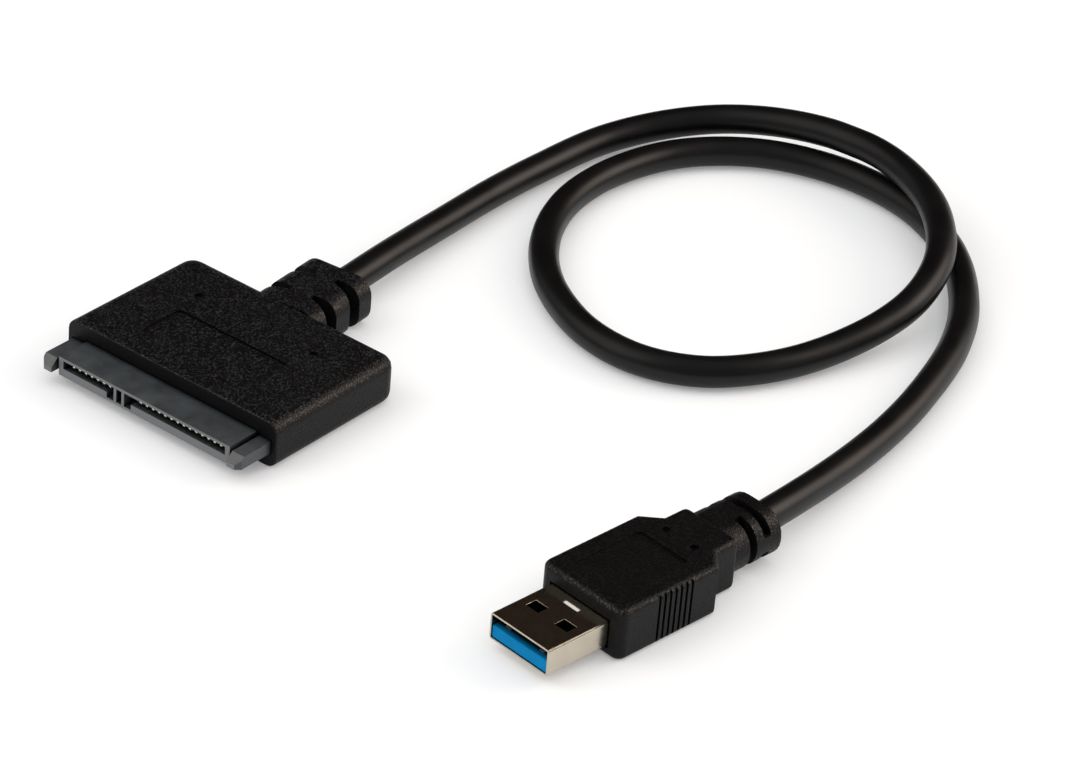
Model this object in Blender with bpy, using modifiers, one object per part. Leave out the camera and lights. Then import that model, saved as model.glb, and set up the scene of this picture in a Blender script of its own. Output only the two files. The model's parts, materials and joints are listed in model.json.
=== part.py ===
"""A USB to SATA adapter: a moulded drive plug, half a metre of round cord and a USB plug.

Metres, +Z up. The drive housing stands on z = 0 with its mating face towards -Y. The origin is below
the middle of the drive end, which counts its receptacle and its strain relief. +X runs from the
signal contacts to the power contacts. The USB plug lies on the same surface at the cord's other end.
"""

import math

import bmesh
import bpy
from mathutils import Matrix, Vector

MM = 0.001
PART_NAME = "usb_to_sata_adapter"
SHARP_ANGLE = math.radians(35)
BEVEL_ANGLE = math.radians(60)

# Clearances
FIT_GAP = 0.2 * MM
SOLDER_GAP = 0.1 * MM
CORD_GAP = 0.3 * MM
CUT_OVER = 1.0 * MM

# How finely round forms are divided
BORE_SEGMENTS = 16
CORE_SEGMENTS = 28
PIN_SEGMENTS = 14
EDGE_SEGMENTS = 4
CORNER_STEPS = 5
SMALL_CORNER_STEPS = 4
RELIEF_CORNER_STEPS = 6
SHELL_OUTER_STEPS = 3
SHELL_INNER_STEPS = 2
CORE_STEPS = 5
WIRE_BEND_STEPS = 6
COURSE_STEPS = 24
WIRE_RESOLUTION = 2
CORD_RESOLUTION = 3

# Drive housing: y is measured back from its front face
HOUSING_WIDTH = 43.4 * MM
HOUSING_DEPTH = 28.2 * MM
HOUSING_HEIGHT = 8.0 * MM
HOUSING_ROUND = 1.9 * MM
HOUSING_BACK_RADIUS = 2.6 * MM
HOUSING_WALL = 1.2 * MM
HOUSING_SIDE_WALL = 2.0 * MM
HOUSING_BACK_WALL = 2.4 * MM

# Sunk label panel and the two pin marks on top of the drive housing
PANEL_WIDTH = 22.6 * MM
PANEL_LENGTH = 8.6 * MM
PANEL_FROM_FACE = 5.5 * MM
PANEL_RADIUS = 0.6 * MM
PANEL_DEPTH = 0.35 * MM
PIN_MARK_SPACING = 24.0 * MM
PIN_MARK_FROM_FACE = 19.2 * MM
PIN_MARK_RADIUS = 0.7 * MM
PIN_MARK_DEPTH = 0.5 * MM

# Drive strain relief: a block whose slots leave three ribs, joined by a web and a round core. The
# slots are measured at the web and open out towards the sides by the flare. The block stands a little
# to the left of the housing's middle and leans the same way.
RELIEF_WIDTH = 13.2 * MM
RELIEF_HEIGHT = 7.9 * MM
RELIEF_ROOT = 2.9 * MM
RELIEF_SLOT = 1.1 * MM
RELIEF_RIB = 5.1 * MM
RELIEF_END = 3.2 * MM
RELIEF_FLARE = 1.5 * MM
RELIEF_WEB = 4.1 * MM
RELIEF_CORE_RADIUS = 3.1 * MM
RELIEF_CORE_INSET = 1.0 * MM
RELIEF_ROUND = 2.8 * MM
RELIEF_SIDE = -1.2 * MM
RELIEF_LEAN = math.radians(5.0)
WIRE_BORE_RADIUS = 2.2 * MM

# Receptacle: the drive's two tongues and the contact places are those of the 22-way standard
CONTACT_PITCH = 1.27 * MM
SIGNAL_CONTACTS = 7
POWER_CONTACTS = 15
EMPTY_POWER_PLACES = 1
SIGNAL_TO_POWER = 5.2 * MM
SIGNAL_TONGUE = 10.41 * MM
POWER_TONGUE = 20.57 * MM
TONGUES_OVERALL = 33.39 * MM
TONGUE_CLEARANCE = 0.12 * MM
RECEPTACLE_REACH = 6.0 * MM
RECEPTACLE_INSIDE = 2.0 * MM
RECEPTACLE_WIDTH = 35.5 * MM
RECEPTACLE_BOTTOM = 1.95 * MM
LIP_THICKNESS = 1.4 * MM
SLOT_HEIGHT = 1.4 * MM
ROOF_THICKNESS = 0.5 * MM
SLOT_DEPTH = 5.2 * MM
KEY_WIDTH = 1.45 * MM
KEY_DROP = 0.95 * MM
SPLIT_POST = 0.55 * MM
SPLIT_DEPTH = 3.0 * MM
ARM_SPAN = 41.2 * MM
ARM_REACH = 7.2 * MM
ARM_WIDTH = 2.4 * MM
ARM_BOTTOM = 2.6 * MM
ARM_HEIGHT = 2.1 * MM
ARM_TIP_SLANT = 0.8 * MM
ARM_TIP_TAPER = 1.3 * MM
ARM_WEB_HEIGHT = 1.0 * MM

# Drive contacts: bent spring strips whose tails lie on the board
CONTACT_WIDTH = 0.65 * MM
CONTACT_THICKNESS = 0.2 * MM
CONTACT_DROP = 0.2 * MM
CONTACT_TIP_RECESS = 0.7 * MM
CONTACT_TIP_RISE = 0.3 * MM
CONTACT_BEND = 0.65 * MM
CONTACT_TIP_LENGTH = 0.78 * MM
CONTACT_CREST = 0.78 * MM
CONTACT_TAIL = 2.2 * MM
CHANNEL_CLEARANCE = 0.1 * MM

# Circuit board, and the width, length, height and middle of what is soldered to it, y from its front
BOARD_SIDE_GAP = 1.4 * MM
BOARD_LENGTH = 19.0 * MM
BOARD_THICKNESS = 1.0 * MM
BOARD_PARTS = (
    ("bridge_chip", (7.0, 7.0, 0.9), (-4.0, 8.5), "chip_black"),
    ("memory_chip", (5.0, 4.0, 1.5), (7.0, 9.5), "chip_black"),
    ("crystal", (3.2, 2.5, 0.8), (-12.5, 8.0), "steel_lid"),
    ("inductor", (4.0, 4.0, 1.5), (12.5, 9.5), "inductor_grey"),
    ("capacitor_1", (1.6, 0.8, 0.8), (-10.5, 4.5), "capacitor_tan"),
    ("capacitor_2", (1.6, 0.8, 0.8), (1.5, 4.5), "capacitor_tan"),
    ("capacitor_3", (1.6, 0.8, 0.8), (12.5, 5.0), "capacitor_tan"),
)

# Inner wires at both ends of the cord
WIRE_DIAMETER = 0.9 * MM
WIRE_SPREAD = 1.5 * MM
WIRE_PAD_PITCH = 2.2 * MM
WIRE_OVERLAP = 2.0 * MM
WIRE_BEND_LENGTH = 4.0 * MM
WIRE_NAMES = ("red", "white", "green", "black")

# USB plug: y is measured back from the shell's front edge, and z up from the surface
SHELL_WIDTH = 12.0 * MM
SHELL_HEIGHT = 4.5 * MM
SHELL_WALL = 0.3 * MM
SHELL_RADIUS = 0.45 * MM
SHELL_SHOWN = 11.8 * MM
SHELL_SEATED = 6.5 * MM
SHELL_DROP = 0.45 * MM
WINDOW_WIDTH = 2.5 * MM
WINDOW_LENGTH = 2.0 * MM
WINDOW_FROM_FRONT = 5.16 * MM
WINDOW_SPACING = 5.9 * MM
SPRING_SLOT_WIDTH = 3.1 * MM
SPRING_SLOT_LENGTH = 0.7 * MM
SPRING_SLOT_FROM_FRONT = 9.8 * MM
TONGUE_THICKNESS = 2.0 * MM
TONGUE_RECESS = 0.15 * MM
TONGUE_GAP = 0.1 * MM

PLUG_WIDTH = 16.9 * MM
PLUG_LENGTH = 19.6 * MM
PLUG_HEIGHT = 8.8 * MM
PLUG_ROUND = 1.0 * MM
PLUG_FRONT_RADIUS = 1.6 * MM
PLUG_CHAMFER_LENGTH = 2.8 * MM
PLUG_NECK_WIDTH = 11.2 * MM
PLUG_NECK_LENGTH = 4.6 * MM
PLUG_CAVITY_LENGTH = 10.0 * MM
PLUG_CAVITY_HEIGHT = 5.8 * MM
PLUG_PANEL_WIDTH = 10.0 * MM
PLUG_PANEL_LENGTH = 13.8 * MM
PLUG_PANEL_FROM_FRONT = 3.0 * MM
PLUG_PIN_MARK_SPACING = 5.8 * MM
PLUG_PIN_MARK_FROM_FRONT = 20.1 * MM
GRIP_GROOVES = 7
GRIP_PITCH = 1.1 * MM
GRIP_FROM_FRONT = 7.5 * MM
GRIP_WIDTH = 0.45 * MM
GRIP_DEPTH = 0.35 * MM

# Round strain relief of the USB plug
BOOT_WIDTH = 11.0 * MM
BOOT_HEIGHT = 8.1 * MM
BOOT_ROOT = 3.0 * MM
BOOT_SLOT = 1.5 * MM
BOOT_RING = 1.5 * MM
BOOT_COLLAR = 2.1 * MM
BOOT_BRIDGE = 2.8 * MM
BOOT_CORE_RADIUS = 3.1 * MM
BOOT_ROUND = 3.8 * MM
BOOT_SIDE = -0.3 * MM
BOOT_LIFT = 0.2 * MM

# USB contacts on the blue tongue
FLAT_CONTACT_PLACES = (-3.5 * MM, -1.0 * MM, 1.0 * MM, 3.5 * MM)
FLAT_CONTACT_WIDTH = 1.0 * MM
FLAT_CONTACT_FRONT = 1.2 * MM
FLAT_CONTACT_LENGTH = 7.6 * MM
DATA_CONTACT_SETBACK = 1.0 * MM
RAISED_CONTACTS = 5
RAISED_CONTACT_PITCH = 2.0 * MM
RAISED_CONTACT_WIDTH = 0.7 * MM
RAISED_CONTACT_FRONT = 9.2 * MM
RAISED_CONTACT_RISE = 0.6 * MM
RAISED_CONTACT_RAMP = 1.2 * MM
RAISED_CONTACT_CREST = 0.6 * MM
USB_CONTACT_THICKNESS = 0.2 * MM
USB_CONTACT_GAP = 0.05 * MM

# Cord
CORD_DIAMETER = 5.1 * MM
CORD_STEP = 8.0 * MM
CORD_LEAD = 2.0 * MM
PLUG_SIDE = 79.4 * MM
PLUG_FROM_FACE = -12.9 * MM
PLUG_TURN = math.radians(-7.5)
# The route's own points between the two strain reliefs, in millimetres, y measured back from the
# drive housing's front face. It turns once and passes over itself in a long low hump.
CORD_ROUTE = (
    (-3.5, 54.2, 3.9),
    (-4.3, 61.7, 3.5),
    (-5.1, 71.6, 3.1),
    (-5.9, 84.3, 2.8),
    (-5.9, 96.4, 2.6),
    (-4.0, 112.0, 3.1),
    (0.8, 122.4, 4.0),
    (7.9, 129.7, 5.3),
    (17.4, 134.3, 6.7),
    (28.6, 136.4, 7.7),
    (39.0, 135.5, 8.0),
    (50.1, 130.4, 8.0),
    (58.5, 122.7, 8.0),
    (64.3, 113.7, 7.4),
    (66.8, 104.0, 5.8),
    (66.2, 95.0, 4.2),
    (63.0, 83.0, 2.8),
    (58.7, 73.1, 2.6),
    (52.4, 65.4, 2.6),
    (43.5, 61.3, 2.6),
    (32.5, 62.0, 2.6),
    (19.3, 69.0, 2.6),
    (9.9, 79.5, 2.6),
    (4.5, 92.0, 2.6),
    (3.7, 105.5, 2.6),
    (7.8, 119.1, 2.6),
    (17.4, 129.3, 2.6),
    (30.8, 134.1, 2.6),
    (45.0, 133.2, 2.6),
    (59.1, 125.9, 2.6),
    (70.6, 113.1, 2.6),
    (77.2, 100.2, 2.6),
    (81.8, 83.5, 2.6),
    (83.5, 73.6, 2.6),
    (84.5, 64.0, 2.8),
    (85.2, 53.7, 3.4),
    (85.6, 45.3, 4.1),
)

# Colours as linear red, green and blue, then roughness and metallic
MATERIALS = {
    "moulded_black": ((0.012, 0.012, 0.013), 0.55, 0.0),
    "receptacle_grey": ((0.045, 0.048, 0.05), 0.5, 0.0),
    "gold_contact": ((0.8, 0.62, 0.3), 0.3, 1.0),
    "board_green": ((0.02, 0.11, 0.05), 0.5, 0.0),
    "chip_black": ((0.02, 0.02, 0.02), 0.45, 0.0),
    "steel_lid": ((0.62, 0.62, 0.6), 0.3, 1.0),
    "inductor_grey": ((0.08, 0.08, 0.08), 0.7, 0.0),
    "capacitor_tan": ((0.45, 0.3, 0.16), 0.5, 0.0),
    "shell_nickel": ((0.7, 0.68, 0.63), 0.22, 1.0),
    "tongue_blue": ((0.0, 0.19, 0.48), 0.4, 0.0),
    "jacket_black": ((0.011, 0.011, 0.012), 0.42, 0.0),
    "wire_red": ((0.5, 0.02, 0.02), 0.45, 0.0),
    "wire_white": ((0.75, 0.75, 0.72), 0.45, 0.0),
    "wire_green": ((0.02, 0.3, 0.06), 0.45, 0.0),
    "wire_black": ((0.02, 0.02, 0.02), 0.45, 0.0),
}

# Sizes that follow from those above
RELIEF_LENGTH = RELIEF_ROOT + 2 * RELIEF_SLOT + RELIEF_RIB + RELIEF_END
RELIEF_REACH = RELIEF_LENGTH * math.cos(RELIEF_LEAN) + RELIEF_WIDTH / 2 * math.sin(RELIEF_LEAN)
DRIVE_END_LENGTH = ARM_REACH + HOUSING_DEPTH + RELIEF_REACH
FACE_Y = ARM_REACH - DRIVE_END_LENGTH / 2
PLUG_PLACE = (PLUG_SIDE, FACE_Y + PLUG_FROM_FACE, 0.0)
HOUSING_MID_Z = HOUSING_HEIGHT / 2
CAVITY_END = HOUSING_DEPTH - HOUSING_BACK_WALL
SLOT_BOTTOM = RECEPTACLE_BOTTOM + LIP_THICKNESS
SLOT_TOP = SLOT_BOTTOM + SLOT_HEIGHT
RECEPTACLE_TOP = SLOT_TOP + ROOF_THICKNESS
SLOT_BACK = SLOT_DEPTH - RECEPTACLE_REACH
CONTACT_Z = SLOT_TOP - CONTACT_DROP - CONTACT_THICKNESS / 2
BOARD_FRONT = RECEPTACLE_INSIDE + FIT_GAP
BOARD_WIDTH = HOUSING_WIDTH - 2 * (HOUSING_SIDE_WALL + BOARD_SIDE_GAP)
BOARD_TOP = CONTACT_Z - CONTACT_THICKNESS / 2 - SOLDER_GAP
BOARD_BOTTOM = BOARD_TOP - BOARD_THICKNESS
FIRST_CONTACT_X = -((SIGNAL_CONTACTS + POWER_CONTACTS - 2) * CONTACT_PITCH + SIGNAL_TO_POWER) / 2
FIRST_POWER_X = FIRST_CONTACT_X + (SIGNAL_CONTACTS - 1) * CONTACT_PITCH + SIGNAL_TO_POWER
SIGNAL_SLOT = (
    -TONGUES_OVERALL / 2 - TONGUE_CLEARANCE,
    -TONGUES_OVERALL / 2 + SIGNAL_TONGUE + TONGUE_CLEARANCE,
)
POWER_SLOT = (
    TONGUES_OVERALL / 2 - POWER_TONGUE - TONGUE_CLEARANCE,
    TONGUES_OVERALL / 2 + TONGUE_CLEARANCE,
)

SHELL_BOTTOM = (PLUG_HEIGHT - SHELL_HEIGHT) / 2 - SHELL_DROP
SHELL_END = SHELL_SHOWN + SHELL_SEATED
TONGUE_BOTTOM = SHELL_BOTTOM + SHELL_WALL + TONGUE_GAP
TONGUE_TOP = TONGUE_BOTTOM + TONGUE_THICKNESS
PLUG_MID_Z = PLUG_HEIGHT / 2
NECK_FRONT = SHELL_SHOWN + PLUG_LENGTH + PLUG_CHAMFER_LENGTH
NECK_END = NECK_FRONT + PLUG_NECK_LENGTH
PLUG_CAVITY_END = SHELL_END + PLUG_CAVITY_LENGTH
BOOT_END = NECK_END + BOOT_ROOT + 2 * BOOT_SLOT + BOOT_RING + BOOT_COLLAR


def clear_scene():
    for old in list(bpy.data.objects):
        bpy.data.objects.remove(old, do_unlink=True)


def new_collection(name):
    collection = bpy.data.collections.new(name)
    bpy.context.scene.collection.children.link(collection)
    return collection


def make_material(name):
    colour, roughness, metallic = MATERIALS[name]
    material = bpy.data.materials.new(name)
    material.use_nodes = True
    shader = material.node_tree.nodes["Principled BSDF"]
    shader.inputs["Base Color"].default_value = (*colour, 1.0)
    shader.inputs["Roughness"].default_value = roughness
    shader.inputs["Metallic"].default_value = metallic
    material.diffuse_color = (*colour, 1.0)
    return material


def empty_at(name, collection, place, turn=0.0):
    empty = bpy.data.objects.new(name, None)
    empty.location = place
    empty.rotation_euler = (0.0, 0.0, turn)
    collection.objects.link(empty)
    return empty


def smooth_faces(mesh):
    mesh.shade_smooth()
    mesh.set_sharp_from_angle(angle=SHARP_ANGLE)


def mesh_from(shape):
    """A mesh from a bmesh, with its faces turned outwards."""
    shape.normal_update()
    bmesh.ops.recalc_face_normals(shape, faces=shape.faces)
    mesh = bpy.data.meshes.new("shape")
    shape.to_mesh(mesh)
    shape.free()
    return mesh


def box_mesh(*boxes):
    """One mesh of boxes, each given as its low corner and its high corner."""
    shape = bmesh.new()
    for low, high in boxes:
        size = Vector(high) - Vector(low)
        middle = (Vector(high) + Vector(low)) / 2
        placed = Matrix.Translation(middle) @ Matrix.Diagonal((*size, 1.0))
        bmesh.ops.create_cube(shape, size=1.0, matrix=placed)
    return mesh_from(shape)


def bar_mesh(radius, start, end, z, segments):
    """A round bar along Y with its axis at this z."""
    shape = bmesh.new()
    middle = Matrix.Translation((0.0, (start + end) / 2, z))
    bmesh.ops.create_cone(
        shape,
        cap_ends=True,
        segments=segments,
        radius1=radius,
        radius2=radius,
        depth=end - start,
        matrix=middle @ Matrix.Rotation(math.radians(90), 4, "X"),
    )
    return mesh_from(shape)


def pin_mesh(radius, places, low, high):
    """Upright round pins at places on X and Y, in one mesh."""
    shape = bmesh.new()
    for x, y in places:
        bmesh.ops.create_cone(
            shape,
            cap_ends=True,
            segments=PIN_SEGMENTS,
            radius1=radius,
            radius2=radius,
            depth=high - low,
            matrix=Matrix.Translation((x, y, (low + high) / 2)),
        )
    return mesh_from(shape)


def rounded_outline(low, high, radii, steps=CORNER_STEPS):
    """A rectangle's outline, anticlockwise from its low corner, with a radius for each corner."""
    corners = (
        (low[0], low[1], 1, 1, 180),
        (high[0], low[1], -1, 1, 270),
        (high[0], high[1], -1, -1, 0),
        (low[0], high[1], 1, -1, 90),
    )
    points = []
    for (x, y, inward_x, inward_y, first), radius in zip(corners, radii):
        if radius == 0:
            points.append((x, y))
            continue
        for step in range(steps + 1):
            angle = math.radians(first + 90 * step / steps)
            across = x + inward_x * radius + radius * math.cos(angle)
            up = y + inward_y * radius + radius * math.sin(angle)
            points.append((across, up))
    return points


def turn_of_axis(axis):
    """The turn that sends a flat outline's own two directions and its thickness to their axes."""
    if axis == "X":
        return Matrix(((0, 0, 1, 0), (1, 0, 0, 0), (0, 1, 0, 0), (0, 0, 0, 1)))
    if axis == "Y":
        return Matrix.Rotation(math.radians(90), 4, "X")
    return Matrix.Identity(4)


def mesh_of_curve(curve):
    guide = bpy.data.objects.new("guide", curve)
    bpy.context.scene.collection.objects.link(guide)
    graph = bpy.context.evaluated_depsgraph_get()
    filled = bpy.data.meshes.new_from_object(guide.evaluated_get(graph))
    bpy.data.objects.remove(guide, do_unlink=True)
    shape = bmesh.new()
    shape.from_mesh(filled)
    bmesh.ops.remove_doubles(shape, verts=shape.verts, dist=0.001 * MM)
    return shape


def prism_mesh(outlines, start, end, axis):
    """Flat outlines, the first round the others, made thick from start to end along an axis.

    Their points are (x, y) for Z, (x, z) for Y and (y, z) for X.
    """
    curve = bpy.data.curves.new("outline", "CURVE")
    curve.dimensions = "2D"
    curve.fill_mode = "BOTH"
    curve.extrude = (end - start) / 2
    for outline in outlines:
        spline = curve.splines.new("POLY")
        spline.points.add(len(outline) - 1)
        for point, (across, up) in zip(spline.points, outline):
            point.co = (across, up, 0.0, 1.0)
        spline.use_cyclic_u = True
    shape = mesh_of_curve(curve)
    bmesh.ops.dissolve_limit(
        shape, angle_limit=math.radians(1), verts=shape.verts, edges=shape.edges
    )
    middle = Vector((axis == "X", axis == "Y", axis == "Z")) * ((start + end) / 2)
    shape.transform(Matrix.Translation(middle) @ turn_of_axis(axis))
    return mesh_from(shape)


def tube_mesh(points, diameter, resolution):
    """A round tube with filled ends along these points."""
    curve = bpy.data.curves.new("tube", "CURVE")
    curve.dimensions = "3D"
    curve.bevel_depth = diameter / 2
    curve.bevel_resolution = resolution
    curve.use_fill_caps = True
    spline = curve.splines.new("POLY")
    spline.points.add(len(points) - 1)
    for point, place in zip(spline.points, points):
        point.co = (*place, 1.0)
    return mesh_from(mesh_of_curve(curve))


def strip_outline(path, thickness):
    """The outline of a bent strip: its middle line moved half its thickness to each side."""
    sides = ([], [])
    for index, here in enumerate(path):
        before = Vector(path[max(index - 1, 0)])
        after = Vector(path[min(index + 1, len(path) - 1)])
        along = (after - before).normalized()
        across = Vector((-along.y, along.x)) * thickness / 2
        sides[0].append(tuple(Vector(here) - across))
        sides[1].append(tuple(Vector(here) + across))
    return sides[0] + sides[1][::-1]


def smooth_curve(points):
    """Places along a centripetal curve through the points, with many between each two."""
    through = [Vector(point) for point in points]
    through.insert(0, 2 * through[0] - through[1])
    through.append(2 * through[-1] - through[-2])
    places = []
    for p0, p1, p2, p3 in zip(through, through[1:], through[2:], through[3:]):
        t1 = (p1 - p0).length ** 0.5
        t2 = t1 + (p2 - p1).length ** 0.5
        t3 = t2 + (p3 - p2).length ** 0.5
        for step in range(COURSE_STEPS):
            t = t1 + (t2 - t1) * step / COURSE_STEPS
            a1 = p0 * ((t1 - t) / t1) + p1 * (t / t1)
            a2 = p1 * ((t2 - t) / (t2 - t1)) + p2 * ((t - t1) / (t2 - t1))
            a3 = p2 * ((t3 - t) / (t3 - t2)) + p3 * ((t - t2) / (t3 - t2))
            b1 = a1 * ((t2 - t) / t2) + a2 * (t / t2)
            b2 = a2 * ((t3 - t) / (t3 - t1)) + a3 * ((t - t1) / (t3 - t1))
            places.append(b1 * ((t2 - t) / (t2 - t1)) + b2 * ((t - t1) / (t2 - t1)))
    places.append(through[-2])
    return places


def evenly_spaced(places, step):
    """Points at one distance from each other along the places, the first and last kept."""
    lengths = [0.0]
    for before, here in zip(places, places[1:]):
        lengths.append(lengths[-1] + (here - before).length)
    count = max(2, round(lengths[-1] / step))
    spaced = []
    index = 0
    for number in range(count + 1):
        wanted = lengths[-1] * number / count
        while index < len(lengths) - 2 and lengths[index + 1] < wanted:
            index += 1
        share = (wanted - lengths[index]) / (lengths[index + 1] - lengths[index])
        spaced.append(places[index].lerp(places[index + 1], min(share, 1.0)))
    return spaced


class Builder:
    """Adds the pieces to one collection and their cutters to another."""

    def __init__(self):
        self.parts = new_collection(PART_NAME)
        self.cutters = new_collection("cutters")
        self.cutters.hide_render = True
        self.materials = {name: make_material(name) for name in MATERIALS}

    def piece(self, name, mesh, material, parent):
        mesh.name = name
        smooth_faces(mesh)
        mesh.materials.append(self.materials[material])
        obj = bpy.data.objects.new(name, mesh)
        obj.parent = parent
        self.parts.objects.link(obj)
        return obj

    def combine(self, target, operation, *meshes):
        """Cuts or joins each mesh, which stands in the same frame as the target."""
        for mesh in meshes:
            tool = bpy.data.objects.new(f"{target.name}_{operation.lower()}", mesh)
            tool.parent = target.parent
            tool.hide_render = True
            tool.display_type = "WIRE"
            self.cutters.objects.link(tool)
            modifier = target.modifiers.new(operation.lower(), "BOOLEAN")
            modifier.operation = operation
            modifier.solver = "EXACT"
            modifier.object = tool

    def cut(self, target, *meshes):
        self.combine(target, "DIFFERENCE", *meshes)

    def join(self, target, *meshes):
        self.combine(target, "UNION", *meshes)


def weight_rim(mesh, height, skip_y):
    """Marks the edges round the top and bottom for the bevel, but not those along y = skip_y."""
    shape = bmesh.new()
    shape.from_mesh(mesh)
    weights = shape.edges.layers.float.new("bevel_weight_edge")
    near = 0.01 * MM
    for edge in shape.edges:
        heights = [vert.co.z for vert in edge.verts]
        in_rim = all(z < near for z in heights) or all(z > height - near for z in heights)
        skipped = all(abs(vert.co.y - skip_y) < near for vert in edge.verts)
        edge[weights] = 1.0 if in_rim and not skipped else 0.0
    shape.to_mesh(mesh)
    shape.free()


def slot_mesh(bridge, core_radius, section, span, direction, mid_z):
    """One side of a strain relief's slot: it stops at the bridges and at the round core.

    The section is the relief's larger outer size, the span its (start, end) along Y, and the
    direction the angle from +X, towards +Z, in which the slot is open.
    """
    reach = section / 2 + CUT_OVER
    half_bridge = bridge / 2
    widest = math.acos(half_bridge / core_radius)
    arc = [widest * (step / CORE_STEPS - 1) for step in range(2 * CORE_STEPS + 1)]
    points = [(reach, -reach), (half_bridge, -reach)]
    points += [(core_radius * math.cos(angle), core_radius * math.sin(angle)) for angle in arc]
    points += [(half_bridge, reach), (reach, reach)]
    turn = Matrix.Rotation(math.radians(direction), 2)
    turned = [turn @ Vector(point) for point in points]
    return prism_mesh([[(x, z + mid_z) for x, z in turned]], *span, "Y")


def slot_spans(first_start, slot, rib):
    """The (start, end) of a strain relief's two slots along Y."""
    second_start = first_start + slot + rib
    return (first_start, first_start + slot), (second_start, second_start + slot)


def relief_section(width, height, radius, mid_z):
    """A strain relief's section as (x, z) points."""
    half, low = width / 2, mid_z - height / 2
    corners = ((-half, low), (half, low + height))
    return rounded_outline(*corners, (radius,) * 4, RELIEF_CORNER_STEPS)


def flared_slot(side, start):
    """One side of a slot of the drive end's strain relief, whose front wall slants forwards."""
    inner = RELIEF_WEB / 2
    reach = RELIEF_WIDTH / 2 + CUT_OVER
    slant = RELIEF_FLARE / (RELIEF_WIDTH / 2 - inner)
    outline = (
        (side * inner, start),
        (side * reach, start - slant * (reach - inner)),
        (side * reach, start + RELIEF_SLOT),
        (side * inner, start + RELIEF_SLOT),
    )
    return prism_mesh([outline], -CUT_OVER, HOUSING_HEIGHT + CUT_OVER, "Z")


def relief_frame():
    """Puts the drive end's strain relief in place, y measured back from the housing's back."""
    middle = Matrix.Translation((RELIEF_SIDE, HOUSING_DEPTH, 0.0))
    return middle @ Matrix.Rotation(RELIEF_LEAN, 4, "Z")


def boot_frame():
    """Puts the USB plug's strain relief a little to the side of the plug's middle and above it."""
    return Matrix.Translation((BOOT_SIDE, 0.0, BOOT_LIFT))


def in_frame(frame, mesh):
    mesh.transform(frame)
    return mesh


def drive_opening():
    """The opening in the housing's front for the receptacle, as closed boxes."""
    back = RECEPTACLE_INSIDE + FIT_GAP
    body_half = RECEPTACLE_WIDTH / 2 + FIT_GAP
    arm_half = ARM_SPAN / 2 + FIT_GAP
    body = (
        (-body_half, -CUT_OVER, RECEPTACLE_BOTTOM - FIT_GAP),
        (body_half, back, RECEPTACLE_TOP + FIT_GAP),
    )
    arms = (
        (-arm_half, -CUT_OVER, ARM_BOTTOM - FIT_GAP),
        (arm_half, back, ARM_BOTTOM + ARM_HEIGHT + FIT_GAP),
    )
    return box_mesh(body), box_mesh(arms)


def make_drive_housing(builder, drive_end):
    half = HOUSING_WIDTH / 2
    plan = rounded_outline(
        (-half, 0.0), (half, HOUSING_DEPTH), (0, 0, HOUSING_BACK_RADIUS, HOUSING_BACK_RADIUS)
    )
    mesh = prism_mesh([plan], 0.0, HOUSING_HEIGHT, "Z")
    weight_rim(mesh, HOUSING_HEIGHT, skip_y=0.0)
    housing = builder.piece("drive_housing", mesh, "moulded_black", drive_end)
    bevel = housing.modifiers.new("edge_round", "BEVEL")
    bevel.limit_method = "WEIGHT"
    bevel.width = HOUSING_ROUND
    bevel.segments = EDGE_SEGMENTS

    frame = relief_frame()
    section = relief_section(RELIEF_WIDTH, RELIEF_HEIGHT, RELIEF_ROUND, HOUSING_MID_Z)
    relief = prism_mesh([section], -HOUSING_BACK_WALL / 2, RELIEF_LENGTH, "Y")
    builder.join(housing, in_frame(frame, relief))
    for start, _ in slot_spans(RELIEF_ROOT, RELIEF_SLOT, RELIEF_RIB):
        for side in (-1, 1):
            builder.cut(housing, in_frame(frame, flared_slot(side, start)))
    core_end = RELIEF_LENGTH - RELIEF_CORE_INSET
    core = bar_mesh(RELIEF_CORE_RADIUS, 0.0, core_end, HOUSING_MID_Z, CORE_SEGMENTS)
    builder.join(housing, in_frame(frame, core))

    cavity_half = half - HOUSING_SIDE_WALL
    cavity = (
        (-cavity_half, RECEPTACLE_INSIDE, HOUSING_WALL),
        (cavity_half, CAVITY_END, HOUSING_HEIGHT - HOUSING_WALL),
    )
    bore_span = (-HOUSING_BACK_WALL - CUT_OVER, RELIEF_LENGTH + CUT_OVER)
    bore = bar_mesh(WIRE_BORE_RADIUS, *bore_span, HOUSING_MID_Z, BORE_SEGMENTS)
    builder.cut(housing, box_mesh(cavity), *drive_opening(), in_frame(frame, bore))
    cut_drive_marks(builder, housing)


def cut_drive_marks(builder, housing):
    """The sunk label panel, left bare, and the two pin marks behind it."""
    panel = rounded_outline(
        (-PANEL_WIDTH / 2, PANEL_FROM_FACE),
        (PANEL_WIDTH / 2, PANEL_FROM_FACE + PANEL_LENGTH),
        (PANEL_RADIUS,) * 4,
        SMALL_CORNER_STEPS,
    )
    top = HOUSING_HEIGHT
    places = [(side * PIN_MARK_SPACING / 2, PIN_MARK_FROM_FACE) for side in (-1, 1)]
    builder.cut(
        housing,
        prism_mesh([panel], top - PANEL_DEPTH, top + CUT_OVER, "Z"),
        pin_mesh(PIN_MARK_RADIUS, places, top - PIN_MARK_DEPTH, top + CUT_OVER),
    )


def arm_outline(side):
    """A guide arm seen from above, with a slanted tip, as (x, y) points."""
    outer = ARM_SPAN / 2
    inner = outer - ARM_WIDTH
    points = (
        (inner, RECEPTACLE_INSIDE),
        (inner, -ARM_REACH),
        (outer - ARM_TIP_SLANT, -ARM_REACH),
        (outer, ARM_TIP_SLANT - ARM_REACH),
        (outer, RECEPTACLE_INSIDE),
    )
    return [(side * x, y) for x, y in points]


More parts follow.
